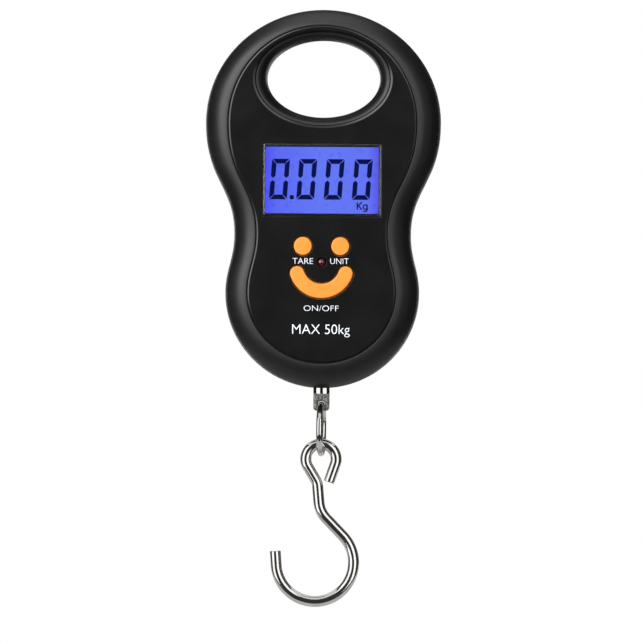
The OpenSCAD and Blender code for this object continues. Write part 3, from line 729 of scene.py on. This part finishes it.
def make_display_mask():
    """The dark border round the lit part of the display."""
    outer = rounded_box(glass_low.x + 0.1, glass_high.x - 0.1, glass_low.z + 0.1, glass_high.z - 0.1, 0.3)
    lit = rounded_box(LIT_X - LIT_HALF_W, LIT_X + LIT_HALF_W,
                      WINDOW_Z - LIT_HALF_H, WINDOW_Z + LIT_HALF_H, 0.15)
    return Solid().plate([(outer, 0), (lit, 0)], PRINT_Y - PRINT_T, PRINT_Y).make("display_mask")


def make_box_piece(node, name, edge, steps=3, radius=0.3, flat=1.0):
    """A box-shaped CAD node with round corners and edges."""
    low, high = limits(node)
    loop = rounded_box(low.x, high.x, low.z, high.z, radius)
    return Solid().plate([(loop, None)], low.y, high.y, edge, 0.05, steps, flat).make(name, FLAT_SMOOTH)


def make_text(name, text, x, z, width, height, y, weight=0.0):
    """Printed lettering, fitted to a width and a height about (x, z)."""
    curve = bpy.data.curves.new(name, "FONT")
    curve.body = text
    curve.offset = weight
    curve.extrude = 0.02
    curve.resolution_u = 5
    source = add_object(name + "_source", curve)
    view = bpy.context.evaluated_depsgraph_get()
    mesh = bpy.data.meshes.new_from_object(source.evaluated_get(view))
    bpy.data.objects.remove(source)
    points = np.array([v.co for v in mesh.vertices], float)
    low, high = points.min(0), points.max(0)
    size = high - low
    points = (points - (low + high) / 2) / size * (width, height, PRINT_T)
    for vertex, p in zip(mesh.vertices, points):
        vertex.co = ((x + p[0]) * MM, (y - PRINT_T / 2 - p[2]) * MM, (z + p[1]) * MM)
    tidy_mesh(mesh, 30)
    return add_object(name, mesh)


# ---------- keys and lamp ----------

def make_key_cap(node, name):
    """A soft round key with its flange behind the shell."""
    low, high = limits(node)
    x, z, r = key_centre(node)
    r -= KEY_SLIM
    edge = [(r - KEY_EDGE * (1 - sin(a)), low.y + KEY_EDGE * (1 - cos(a))) for a in quarter(6)]
    dome = [(0.02, low.y), (r * 0.6, low.y + 0.01)]
    out = r + KEY_SLIM + FLANGE
    body = [(r, high.y - FLANGE_T - 0.05), (out - 0.1, high.y - FLANGE_T), (out, high.y - FLANGE_T + 0.1),
            (out, high.y)]
    return Solid().lathe(x, z, dome + edge + body, 96).make(name)


def make_power_cap():
    low, high = power_low, power_high
    cap = Solid().plate([(arc_band(-KEY_SLIM), None)], low.y, high.y - FLANGE_T + 0.05, KEY_EDGE, steps=6)
    key = cap.make("power_key_cap")
    flange = Solid().plate([(arc_band(FLANGE), 0.1)], high.y - FLANGE_T, high.y)
    combine(key, flange, "UNION")
    return key


def make_lamp():
    """The clear red lamp: a dome, a body and a foot."""
    low, high = lamp_low, lamp_high
    dome = [(LAMP_R * sin(a) + 0.005, low.y + LAMP_R * (1 - cos(a))) for a in quarter(14)]
    foot = [(LAMP_R, high.y - 1.5), (LAMP_R + 0.35, high.y - 1.4), (LAMP_R + 0.35, high.y)]
    return Solid().lathe(0, LAMP_Z, dome + foot, 64).make("lamp_dome")


# ---------- metal ----------

def bent_line(bends, start, heading, step=2.5):
    """Points along a bent wire in the XZ plane, from a start point and a heading in degrees."""
    points = [np.array(start, float)]
    here = points[0]
    for straight, radius, angle in bends:
        h = radians(heading)
        pieces = max(1, round(straight / 0.7))
        ahead = np.array((cos(h), 0, sin(h)))
        points += [here + ahead * straight * k / pieces for k in range(1, pieces + 1)]
        here = points[-1]
        if angle:
            turn = copysign(1, angle)
            centre = here + turn * radius * np.array((-sin(h), 0, cos(h)))
            count = ceil(abs(angle) / step)
            for k in range(1, count + 1):
                a = radians(heading + angle * k / count)
                points.append(centre + turn * radius * np.array((sin(a), 0, -cos(a))))
            here = points[-1]
            heading += angle
    return points


def cut_ends(line, radius, edge):
    """The line and a radius at each point, with both ends of the wire softly rounded over."""
    lead = [(sin(a), 1 - cos(a)) for a in quarter(4)]
    first = line[1] - line[0]
    first = first / np.linalg.norm(first)
    last = line[-1] - line[-2]
    last = last / np.linalg.norm(last)
    start = [line[0] + first * edge * back for side, back in lead]
    end = [line[-1] - last * edge * back for side, back in lead[::-1]]
    radii = [radius - edge * (1 - side) for side, back in lead]
    inner = list(line[1:-1])
    return start + inner + end, radii + [radius] * len(inner) + radii[::-1]


def make_hook():
    eye_z = limits("hook")[1].z - HOOK_R - EYE_R
    a = radians(EYE_LEG_ANGLE)
    start = (EYE_R * cos(a) - EYE_LEG * sin(a), 0,
             eye_z - EYE_R * sin(a) - EYE_LEG * cos(a))
    line = bent_line(HOOK_BENDS, start, 90 - EYE_LEG_ANGLE)
    line, radii = cut_ends(line, HOOK_R, HOOK_END_EDGE)
    return Solid().tube(line, radii, (0, 1, 0), 48).make("hook_wire", 50)


def make_ring():
    """The ring, closed by a weld where the wire is slightly thinner."""
    low, high = limits("link_ring")
    wire_r = (high.z - low.z) / 2
    centre_z = (high.z + low.z) / 2
    middle_r = wire_r - RING_R
    across = np.array((-sin(RING_TWIST), cos(RING_TWIST), 0))
    side = np.array((cos(RING_TWIST), sin(RING_TWIST), 0))
    rings = []
    for a in around(RING_STEPS):
        weld = exp(-((degrees(a) - WELD_AT) / WELD_SPREAD) ** 2)
        out = across * cos(a) + np.array((0, 0, sin(a)))
        r = RING_R * (1 - WELD_SHARE * weld)
        centre = out * middle_r + np.array((0, 0, centre_z))
        rings.append([centre + r * (out * cos(b) + side * sin(b)) for b in around(40)])
    return Solid().skin(rings, closed=True).make("ring_wire", 60)


def make_tongue():
    """The tongue, with its two slots, the eyelet for the ring and the hole for its pin."""
    outer = rounded_box(tongue_low.x, tongue_high.x, tongue_low.z, tongue_high.z, 1.1, 8)
    loops = [(outer, 0.28)]
    for x in (-SLOT_X, SLOT_X):
        loops.append((rounded_box(x - SLOT_HALF, x + SLOT_HALF, SLOT_END, SLOT_TOP, 0.2, 4), 0.15))
    loops.append((circle(0, EYELET_Z, EYELET_R, 56), 0.34))
    loops.append((circle(0, PIN_Z, PIN_HOLE_R, 40), 0.1))
    return Solid().plate(loops, tongue_low.y, tongue_high.y, back_edge=0.15, steps=4).make("tongue_plate", 40)


def make_case_screws():
    """Pan-head screws with a cross recess, at the bottom of their deep holes."""
    heads = Solid()
    for x, z in BOSS_XZ:
        y = SCREW_SEAT_Y
        crown = [(0.02, y + 1.8), (1.2, y + 1.76), (1.9, y + 1.55), (2.35, y + 1.1),
                 (HEAD_R, y + 0.5), (HEAD_R, y)]
        shank = [(SCREW_R - 0.02, y - 0.02)]
        for k in range(14):
            shank += [(SCREW_R - 0.3, y - 0.8 - k * 0.62), (SCREW_R - 0.02, y - 1.1 - k * 0.62)]
        shank += [(SCREW_R - 0.4, y - 9.6), (0.3, y - 10)]
        heads.lathe(x, z, crown + shank, 40)
    screws = heads.make("case_screws", 30)
    for half_w, half_h in ((CROSS_HALF, CROSS_SLOT), (CROSS_SLOT, CROSS_HALF)):
        cross = Solid()
        for x, z in BOSS_XZ:
            cross.block(x - half_w, x + half_w, SCREW_SEAT_Y + CROSS_FLOOR, SCREW_SEAT_Y + 2,
                        z - half_h, z + half_h)
        combine(screws, cross, "DIFFERENCE", 30)
    return screws


# ---------- cells and door ----------

def make_cell(node, name, way):
    """An AAA cell: a crimped can with a wrap, and its raised end up (way 1) or down (way -1)."""
    low, high = limits(node)
    x = (low.x + high.x) / 2
    y = (low.y + high.y) / 2
    r = (high.x - low.x) / 2
    length = high.z - low.z
    profile = [(0.02, 0), (r - 0.9, 0), (r - 0.6, 0.15), (r - 0.5, 0.4), (r - 0.15, 0.45), (r, 0.7),
               (r, length - 2.0), (r - 0.12, length - 1.4), (r - 0.5, length - 1.1), (2.3, length - 1.05),
               (1.95, length - 0.95), (1.9, length - 0.2), (1.7, length), (0.02, length)]
    start = low.z if way > 0 else high.z
    rings = []
    for radius, travel in profile:
        z = start + way * travel
        rings.append([(x + radius * cos(a), y + radius * sin(a), z) for a in around(72)])
    return Solid().skin(rings).make(name, 30)


def groove_ring(z, y, grow):
    """One ring of a grip groove's walls, larger by grow on every side."""
    loop = rounded_box(-GRIP_HALF_W - grow, GRIP_HALF_W + grow,
                       z - GRIP_HALF_H - grow, z + GRIP_HALF_H + grow, 0.38 + grow)
    return [(px, y, pz) for px, pz in loop]


def make_door():
    """The battery door: a plate with soft edges, grip grooves, catches, a latch and a rib."""
    top = door_high.z
    outer = rounded_box(door_low.x, door_high.x, DOOR_END, top, 0.6)
    door = Solid().plate([(outer, 0)], DOOR_Y, DEPTH, back_edge=0.3, steps=4).make("door_cover")
    catches = Solid()
    ribs = Solid()
    for x in (-CATCH_X, CATCH_X):
        left, right = x - CATCH_HALF, x + CATCH_HALF
        catches.block(left, right, DOOR_Y - CATCH_T, DOOR_Y - 0.3, DOOR_END - 1.6, DOOR_END + 1.9)
        ribs.block(left, right, DOOR_Y - CATCH_T, DOOR_Y + 0.2, DOOR_END + 1.8, DOOR_END + 3)
    ribs.block(-4, 4, DOOR_Y - 3, DOOR_Y + 0.2, top - 3.4, top - 2.4)
    ribs.block(-0.4, 0.4, DOOR_Y - 0.9, DOOR_Y + 0.2, DOOR_END + 6, top - 6)
    combine(door, catches, "UNION")
    combine(door, ribs, "UNION")
    grooves = Solid()
    for i in range(GRIP_GROOVES):
        z = top - 4 - GRIP_PITCH * i
        grooves.skin([groove_ring(z, y, grow)
                      for y, grow in ((DEPTH - 0.4, -0.2), (DEPTH - 0.3, 0), (DEPTH + 0.05, 0.12))])
    combine(door, grooves, "DIFFERENCE")
    return door


# ---------- materials ----------

def node_tree(name):
    """A new material with its tree and its Principled shader."""
    material = bpy.data.materials.new(name)
    material.use_nodes = True
    tree = material.node_tree
    return material, tree, tree.nodes["Principled BSDF"]


def put(node, values):
    """Sets a node's inputs by name."""
    for name, value in values.items():
        node.inputs[name].default_value = value


def noise(tree, scale, detail=2.0, stretch=(1, 1, 1)):
    """Noise in the object's own space; scale is in cells for each metre."""
    place = tree.nodes.new("ShaderNodeTexCoord")
    turn = tree.nodes.new("ShaderNodeMapping")
    put(turn, {"Scale": stretch})
    texture = tree.nodes.new("ShaderNodeTexNoise")
    put(texture, {"Scale": scale, "Detail": detail})
    tree.links.new(place.outputs["Object"], turn.inputs["Vector"])
    tree.links.new(turn.outputs["Vector"], texture.inputs["Vector"])
    return texture.outputs["Fac"]


def spread(tree, source, low, high):
    """The noise's middle range stretched to run from low to high."""
    span = tree.nodes.new("ShaderNodeMapRange")
    put(span, {"From Min": 0.3, "From Max": 0.7, "To Min": low, "To Max": high})
    tree.links.new(source, span.inputs["Value"])
    return span.outputs["Result"]


def bands(tree, source, stops, step=False):
    """Colours through (position, colour) stops, with hard steps between them if step is true."""
    ramp = tree.nodes.new("ShaderNodeValToRGB")
    if step:
        ramp.color_ramp.interpolation = "CONSTANT"
    for k, (position, colour) in enumerate(stops):
        element = ramp.color_ramp.elements[k] if k < 2 else ramp.color_ramp.elements.new(position)
        element.position = position
        element.color = (*colour, 1)
    tree.links.new(source, ramp.inputs["Fac"])
    return ramp.outputs["Color"]


def tint(tree, source, dark, light):
    """Two colours mixed by a noise."""
    return bands(tree, source, [(0.35, dark), (0.65, light)])


def along(tree, axis, low, high):
    """How far the surface lies from low to high on an axis of the object, from 0 to 1."""
    place = tree.nodes.new("ShaderNodeTexCoord")
    split = tree.nodes.new("ShaderNodeSeparateXYZ")
    share = tree.nodes.new("ShaderNodeMapRange")
    put(share, {"From Min": low * MM, "From Max": high * MM})
    tree.links.new(place.outputs["Object"], split.inputs["Vector"])
    tree.links.new(split.outputs[axis], share.inputs["Value"])
    return share.outputs["Result"]


def gloss(tree, shader, source, low, high):
    """Roughness that a noise moves from low to high."""
    tree.links.new(spread(tree, source, low, high), shader.inputs["Roughness"])


def roughen(tree, shader, source, distance):
    """Bump from a noise; distance is the relief in metres."""
    bump = tree.nodes.new("ShaderNodeBump")
    put(bump, {"Distance": distance, "Strength": 1.0})
    tree.links.new(source, bump.inputs["Height"])
    tree.links.new(bump.outputs["Normal"], shader.inputs["Normal"])


def surface(name, dark, light, rough, grain, relief, metal=0.0, stretch=(1, 1, 1), patch=90, specular=0.5):
    """A surface whose colour and gloss vary in soft patches, with a fine grain in relief."""
    material, tree, shader = node_tree(name)
    put(shader, {"Metallic": metal, "Specular IOR Level": specular})
    patches = noise(tree, patch, 3.0)
    tree.links.new(tint(tree, patches, dark, light), shader.inputs["Base Color"])
    gloss(tree, shader, patches, *rough)
    roughen(tree, shader, noise(tree, grain, 3.0, stretch), relief)
    return material


# Plain surfaces: material name, darker and lighter colour, range of roughness, grain in cells for each metre,
# relief in metres, and what differs from surface()'s usual settings
SURFACES = {
    "shell": ("shell_plastic", (0.0035, 0.0035, 0.0037), (0.0050, 0.0050, 0.0052), (0.44, 0.50),
              2600, 1.2e-5, {}),
    "panel": ("panel_plastic", (0.0032, 0.0032, 0.0032), (0.0042, 0.0042, 0.0042), (0.21, 0.25),
              3600, 1.5e-6, {"specular": 0.4}),
    "key": ("key_silicone", (0.74, 0.222, 0.020), (0.79, 0.246, 0.027), (0.40, 0.48),
            2400, 8e-6, {"patch": 500, "specular": 0.4}),
    "print": ("label_ink", (0.66, 0.71, 0.77), (0.80, 0.84, 0.89), (0.5, 0.6), 3000, 4e-6, {"patch": 1800}),
    "mask": ("display_border", (0.006, 0.006, 0.008), (0.009, 0.009, 0.012), (0.5, 0.6), 2500, 4e-6, {}),
    "screw": ("screw_plate", (0.42, 0.42, 0.43), (0.6, 0.6, 0.62), (0.24, 0.4), 1800, 1.2e-5, {"metal": 1.0}),
    "alloy": ("cell_alloy_milled", (0.55, 0.56, 0.57), (0.72, 0.73, 0.75), (0.28, 0.42),
              400, 1.5e-5, {"metal": 1.0, "stretch": (1, 1, 14)}),
    "steel": ("bracket_steel_rolled", (0.34, 0.34, 0.36), (0.52, 0.52, 0.54), (0.3, 0.45),
              500, 1.2e-5, {"metal": 1.0, "stretch": (10, 1, 1)}),
    "nickel": ("contact_nickel_plate", (0.55, 0.53, 0.48), (0.72, 0.7, 0.65), (0.2, 0.32),
               1500, 8e-6, {"metal": 1.0}),
    "chip": ("epoxy_black", (0.008, 0.008, 0.009), (0.014, 0.014, 0.016), (0.12, 0.22), 300, 5e-5, {}),
    "component": ("component_ceramic", (0.22, 0.14, 0.07), (0.42, 0.29, 0.16), (0.3, 0.5),
                  1500, 1e-5, {"patch": 600}),
    "frame": ("frame_white_plastic", (0.68, 0.68, 0.66), (0.78, 0.78, 0.76), (0.35, 0.45), 1800, 1e-5, {}),
    "diffuser": ("backlight_acrylic", (0.7, 0.74, 0.9), (0.8, 0.84, 0.97), (0.15, 0.25), 900, 1e-5, {}),
    "connector": ("connector_rubber", (0.62, 0.26, 0.32), (0.78, 0.38, 0.44), (0.55, 0.7),
                  1200, 2e-5, {"stretch": (12, 1, 1)}),
    "plunger": ("plunger_plastic", (0.02, 0.02, 0.02), (0.03, 0.03, 0.03), (0.35, 0.5), 1500, 1e-5, {}),
    "wire_red": ("jacket_red", (0.32, 0.02, 0.02), (0.45, 0.03, 0.03), (0.3, 0.42), 900, 1e-5, {}),
    "gauge": ("gauge_film", (0.42, 0.2, 0.03), (0.62, 0.32, 0.06), (0.15, 0.28), 1600, 8e-6, {"patch": 900}),
}


def plated_wire():
    """Bright nickel plate with fine drawing marks and a few duller patches."""
    material, tree, shader = node_tree("nickel_plated_wire")
    put(shader, {"Metallic": 1.0})
    patches = noise(tree, 260, 4.0)
    tree.links.new(tint(tree, patches, (0.70, 0.685, 0.66), (0.80, 0.79, 0.77)), shader.inputs["Base Color"])
    gloss(tree, shader, noise(tree, 700, 5.0), 0.07, 0.17)
    roughen(tree, shader, noise(tree, 500, 3.0), 2.5e-6)
    return material


def tongue_metal_painted_shade():
    """Cast grey metal, with painted shade: near black between and beside the slots, towards where the tongue
    goes into the casing.
    """
    material, tree, shader = node_tree("tongue_metal_painted_shade")
    put(shader, {"Metallic": 1.0})
    cast = tint(tree, noise(tree, 1500, 3.0), (0.10, 0.096, 0.088), (0.31, 0.30, 0.28))
    # Painted shade: the near black colour is mixed in above the slots' lower ends, where the casing shades
    # the tongue.
    mix = tree.nodes.new("ShaderNodeMix")
    mix.data_type = "RGBA"
    put(mix, {"A": (0.012, 0.011, 0.010, 1)})
    tree.links.new(along(tree, "Z", SLOT_END + 0.35, SLOT_END - 0.15), mix.inputs["Factor"])
    tree.links.new(cast, mix.inputs["B"])
    tree.links.new(mix.outputs["Result"], shader.inputs["Base Color"])
    gloss(tree, shader, noise(tree, 900), 0.34, 0.6)
    roughen(tree, shader, noise(tree, 2200, 3.0), 7e-5)
    return material


def circuit_board():
    """Green solder mask with paler traces."""
    material, tree, shader = node_tree("board_solder_mask")
    grid = tree.nodes.new("ShaderNodeTexBrick")
    put(grid, {
        "Scale": 160,
        "Mortar Size": 0.03,
        "Color1": (0.008, 0.10, 0.035, 1),
        "Color2": (0.010, 0.13, 0.045, 1),
        "Mortar": (0.03, 0.25, 0.09, 1),
    })
    place = tree.nodes.new("ShaderNodeTexCoord")
    turn = tree.nodes.new("ShaderNodeMapping")
    put(turn, {"Rotation": (pi / 2, 0, 0)})
    tree.links.new(place.outputs["Object"], turn.inputs["Vector"])
    tree.links.new(turn.outputs["Vector"], grid.inputs["Vector"])
    tree.links.new(grid.outputs["Color"], shader.inputs["Base Color"])
    gloss(tree, shader, noise(tree, 300), 0.2, 0.34)
    return material


def cell_wrap():
    """A plain printed wrap: dark blue with a pale band and bare metal at the ends."""
    material, tree, shader = node_tree("cell_wrap_print")
    low, high = limits("battery_1")
    metal = (0.62, 0.6, 0.56)
    stops = [(0.0, metal), (0.015, (0.02, 0.05, 0.16)), (0.70, (0.55, 0.57, 0.6)),
             (0.74, (0.03, 0.09, 0.30)), (0.955, metal)]
    wrap = bands(tree, along(tree, "Z", low.z, high.z), stops, step=True)
    tree.links.new(wrap, shader.inputs["Base Color"])
    gloss(tree, shader, noise(tree, 250), 0.18, 0.3)
    put(shader, {"Metallic": 0.35})
    roughen(tree, shader, noise(tree, 500, 3.0), 1e-5)
    return material


def clear_lens():
    """A clear moulded window with hardly visible waviness."""
    material, tree, shader = node_tree("window_acrylic")
    put(shader, {"Base Color": (0.98, 0.99, 1.0, 1), "Transmission Weight": 1.0, "IOR": 1.49})
    gloss(tree, shader, noise(tree, 200), 0.01, 0.03)
    roughen(tree, shader, noise(tree, 120), 5e-7)
    return material


def lit_display():
    """The display's blue backlight, slightly uneven, and deeper towards its left and right ends."""
    material, tree, shader = node_tree("display_backlit")
    stops = [(0.0, (0.070, 0.085, 0.95)), (0.10, (0.105, 0.145, 0.93)), (0.45, (0.125, 0.190, 0.95)),
             (0.9, (0.125, 0.180, 0.93)), (1.0, (0.095, 0.090, 0.82))]
    glow = bands(tree, along(tree, "X", -LIT_HALF_W, LIT_HALF_W), stops)
    put(shader, {"Base Color": (0.01, 0.01, 0.05, 1)})
    tree.links.new(glow, shader.inputs["Emission Color"])
    tree.links.new(spread(tree, noise(tree, 60, 1.0), 0.985, 1.015), shader.inputs["Emission Strength"])
    gloss(tree, shader, noise(tree, 400), 0.25, 0.35)
    return material


def display_ink():
    """The display's dark bars, which let a little blue through."""
    material, tree, shader = node_tree("display_dark_bars")
    put(shader, {
        "Specular IOR Level": 0.0,
        "Emission Color": (0.0, 0.004, 0.085, 1),
        "Emission Strength": 0.85,
    })
    ink = tint(tree, noise(tree, 900), (0.002, 0.002, 0.006), (0.004, 0.004, 0.01))
    tree.links.new(ink, shader.inputs["Base Color"])
    gloss(tree, shader, noise(tree, 600), 0.3, 0.4)
    return material


def red_lamp():
    """Dark red tinted resin, unlit."""
    material, tree, shader = node_tree("lamp_red_resin")
    resin = tint(tree, noise(tree, 700), (0.035, 0.001, 0.003), (0.06, 0.002, 0.006))
    tree.links.new(resin, shader.inputs["Base Color"])
    gloss(tree, shader, noise(tree, 500), 0.08, 0.16)
    put(shader, {"Coat Weight": 0.6})
    return material


def make_materials():
    """Every material of the part, by a short name."""
    made = {key: surface(*row, **more) for key, (*row, more) in SURFACES.items()}
    made.update(tongue=tongue_metal_painted_shade(), wire=plated_wire(), board=circuit_board(), cell=cell_wrap(),
                lens=clear_lens(), glass=lit_display(), digit=display_ink(), lamp=red_lamp())
    return made


# ---------- assembly ----------

def fit(piece, body, key, slot=None, *nodes):
    """Gives a piece its material and its body, and hides the CAD nodes that it stands for. slot is not used.
    """
    piece.data.materials.clear()
    piece.data.materials.append(m[key])
    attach(piece, body)
    if nodes:
        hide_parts(*nodes)


m = make_materials()
fit(make_front_shell(), "housing", "shell", "shell_black", "front_shell")
fit(make_rear_shell(), "housing", "shell", "shell_black", "rear_shell")
fit(make_face_panel(), "housing", "panel", "panel_black", "face_panel")
lens = make_box_piece("lcd_window", "window_lens", 0.5, steps=1, radius=0.55, flat=LENS_SLOPE)
fit(lens, "housing", "lens", "window_clear", "lcd_window")
fit(make_box_piece("lcd_glass", "display_glass", 0.1), "housing", "glass", "lcd_blue", "lcd_glass")
fit(make_display_mask(), "housing", "mask")
fit(make_digits(), "housing", "digit")
fit(make_unit_sign(), "housing", "digit")
fit(make_lamp(), "housing", "lamp", "led_red", "led_indicator")
fit(make_key_cap("tare_button", "tare_key_cap"), "tare_key", "key", "key_orange", "tare_button")
fit(make_key_cap("unit_button", "unit_key_cap"), "unit_key", "key", "key_orange", "unit_button")
fit(make_power_cap(), "power_key", "key", "key_orange", "power_button")
fit(make_tongue(), "housing", "tongue", "tongue_steel", "hook_plate")
fit(make_ring(), "ring", "wire", "plated_wire", "link_ring")
fit(make_hook(), "hook", "wire", "plated_wire", "hook")
fit(make_case_screws(), "housing", "screw", "screw_steel", "housing_screws")
fit(make_cell("battery_1", "cell_left", 1), "housing", "cell", "battery_wrap", "battery_1")
fit(make_cell("battery_2", "cell_right", -1), "housing", "cell", "battery_wrap", "battery_2")
fit(make_door(), "door", "shell", "shell_black", "battery_door")

# Printed words on the panel: name, text, middle x and z, width, height, weight
LABELS = [
    ("label_tare", "TARE", -6.15, -72.75, 6.75, 1.88, -0.012),
    ("label_unit", "UNIT", 5.95, -72.75, 6.1, 1.88, -0.012),
    ("label_power", "ON/OFF", 0.0, -88.3, 11.5, 1.82, -0.014),
    ("label_capacity", "MAX 50kg", 0.0, -95.7, 19.0, 4.2, -0.01),
]
for name, text, x, z, width, height, weight in LABELS:
    fit(make_text(name, text, x, z, width, height, PANEL_Y, weight), "housing", "print")

# CAD nodes that keep their shape
KEPT = {
    "lcd_backlight": "diffuser", "lcd_frame": "frame", "lcd_connector": "connector", "circuit_board": "board",
    "controller_chip": "chip", "board_components": "component", "tact_switches": "steel",
    "tare_plunger": "plunger", "unit_plunger": "plunger", "power_plunger": "plunger",
    "load_cell": "alloy", "strain_gauges": "gauge",
    "load_cell_bracket": "steel", "load_cell_screws": "screw", "load_cell_wires": "wire_red",
    "hook_plate_pin": "screw", "battery_springs": "nickel", "battery_contacts": "nickel",
    "battery_wires": "wire_red", "board_screws": "screw",
}
for node, key in KEPT.items():
    kept = frame["nodes"][node]
    kept.data.materials.clear()
    kept.data.materials.append(m[key])

# ---------- floor, light and camera ----------

# The middle of the view and its height are in millimetres. All other lengths from here on are in metres.
VIEW_X = -0.17
VIEW_Z = -92.65
VIEW_HEIGHT = 212.3
CAMERA_DISTANCE = 6
CAMERA_ROLL = -0.43
CAMERA_AZIMUTH = 1.5
FLOOR_Z = -0.34
FLOOR_R = 1.2
LIGHT_AIM_Z = -0.06
ROOM_LIGHT = 0.035
# Soft lights: name, azimuth, elevation, distance, width, height, radiance
CASING_LIGHTS = [
    ("key_left", -41, 18, 1.1, 1.02, 1.0, 6.0),
    ("fill_right", 27, 18, 1.1, 0.46, 1.0, 3.2),
    ("side_right", 80, 8, 1.0, 0.4, 1.0, 0.35),
    ("front_top", 0, 44, 1.1, 0.7, 0.2, 1.5),
    ("top", 0, 80, 1.0, 1.1, 0.8, 1.6),
    ("back_top", 180, 60, 1.2, 0.9, 0.6, 0.8),
    ("back_left", -166, -5, 1.2, 0.4, 0.55, 2.8),
    ("back_right", 167, -5, 1.2, 0.3, 0.55, 1.8),
    ("below", 180, -72, 0.22, 0.5, 0.4, 0.35),
]
WIRE_LIGHTS = [
    ("wire_left", -53, 5, 1.0, 0.8, 1.2, 1.4),
    ("wire_right", 37, 5, 1.0, 0.74, 1.2, 1.4),
    ("wire_back_left", -130, 5, 1.0, 1.3, 1.2, 0.08),
    ("wire_back_right", 145, 5, 1.0, 1.3, 1.2, 0.1),
    ("wire_top", 180, 85, 0.8, 1.6, 2.2, 0.75),
    ("wire_below", 180, -70, 0.22, 0.6, 0.5, 0.5),
]


def make_floor():
    """A plain pale round floor, well below the hanging scale."""
    work = bmesh.new()
    bmesh.ops.create_circle(work, cap_ends=True, radius=FLOOR_R, segments=96)
    mesh = bpy.data.meshes.new("floor")
    work.to_mesh(mesh)
    work.free()
    floor = add_object("floor", mesh)
    floor.location.z = FLOOR_Z
    paint = surface("floor_paint", (0.82, 0.82, 0.82), (0.83, 0.83, 0.83), (0.8, 0.85), 900, 1e-6)
    mesh.materials.append(paint)
    floor.visible_glossy = False


def group(name, pieces):
    """A collection that isn't shown, and only says which pieces a light reaches."""
    collection = bpy.data.collections.new(name)
    for piece in pieces:
        collection.objects.link(piece)
    return collection


def make_softbox(name, azimuth, elevation, distance, width, height, radiance, reached):
    """A soft rectangular light that faces the casing and lights the pieces in one group. Azimuth 0 is the
    camera's side, and 90 is to its right."""
    light = bpy.data.lights.new(name, "AREA")
    light.shape = "RECTANGLE"
    light.size = width
    light.size_y = height
    light.energy = radiance * pi * width * height
    lamp = add_object(name, light)
    a = radians(azimuth)
    e = radians(elevation)
    out = Vector((sin(a) * cos(e), -cos(a) * cos(e), sin(e)))
    lamp.location = Vector((0, 0, LIGHT_AIM_Z)) + out * distance
    lamp.rotation_mode = "QUATERNION"
    lamp.rotation_quaternion = (-out).to_track_quat("-Z", "Y")
    lamp.visible_camera = False
    lamp.visible_transmission = False
    lamp.light_linking.receiver_collection = reached


def make_world():
    """White where the camera sees it, and a dim studio for everything else."""
    world = bpy.data.worlds.new("studio")
    world.use_nodes = True
    bpy.context.scene.world = world
    tree = world.node_tree
    seen = tree.nodes["Background"]
    put(seen, {"Color": (1, 1, 1, 1), "Strength": 1.0})
    room = tree.nodes.new("ShaderNodeBackground")
    put(room, {"Color": (1, 1, 1, 1), "Strength": ROOM_LIGHT})
    path = tree.nodes.new("ShaderNodeLightPath")
    mix = tree.nodes.new("ShaderNodeMixShader")
    tree.links.new(path.outputs["Is Camera Ray"], mix.inputs["Fac"])
    tree.links.new(room.outputs["Background"], mix.inputs[1])
    tree.links.new(seen.outputs["Background"], mix.inputs[2])
    tree.links.new(mix.outputs["Shader"], tree.nodes["World Output"].inputs["Surface"])


def make_camera():
    data = bpy.data.cameras.new("camera")
    data.sensor_width = 36
    data.lens = data.sensor_width * CAMERA_DISTANCE / (VIEW_HEIGHT * MM)
    data.clip_end = 20
    camera = add_object("camera", data)
    turn = radians(CAMERA_AZIMUTH)
    aim = Vector((VIEW_X, 0, VIEW_Z)) * MM
    camera.location = aim + Vector((sin(turn), -cos(turn), 0)) * CAMERA_DISTANCE
    camera.rotation_euler = (pi / 2, radians(CAMERA_ROLL), turn)
    bpy.context.scene.camera = camera


make_floor()
bright = [bpy.data.objects[name] for name in ("ring_wire", "hook_wire")]
wires = group("bright_wires", bright)
others = group("all_but_wires", [o for o in bpy.context.scene.objects if o not in bright])
for row in CASING_LIGHTS:
    make_softbox(*row, others)
for row in WIRE_LIGHTS:
    make_softbox(*row, wires)
make_world()
make_camera()
bpy.context.scene.view_settings.view_transform = "Standard"
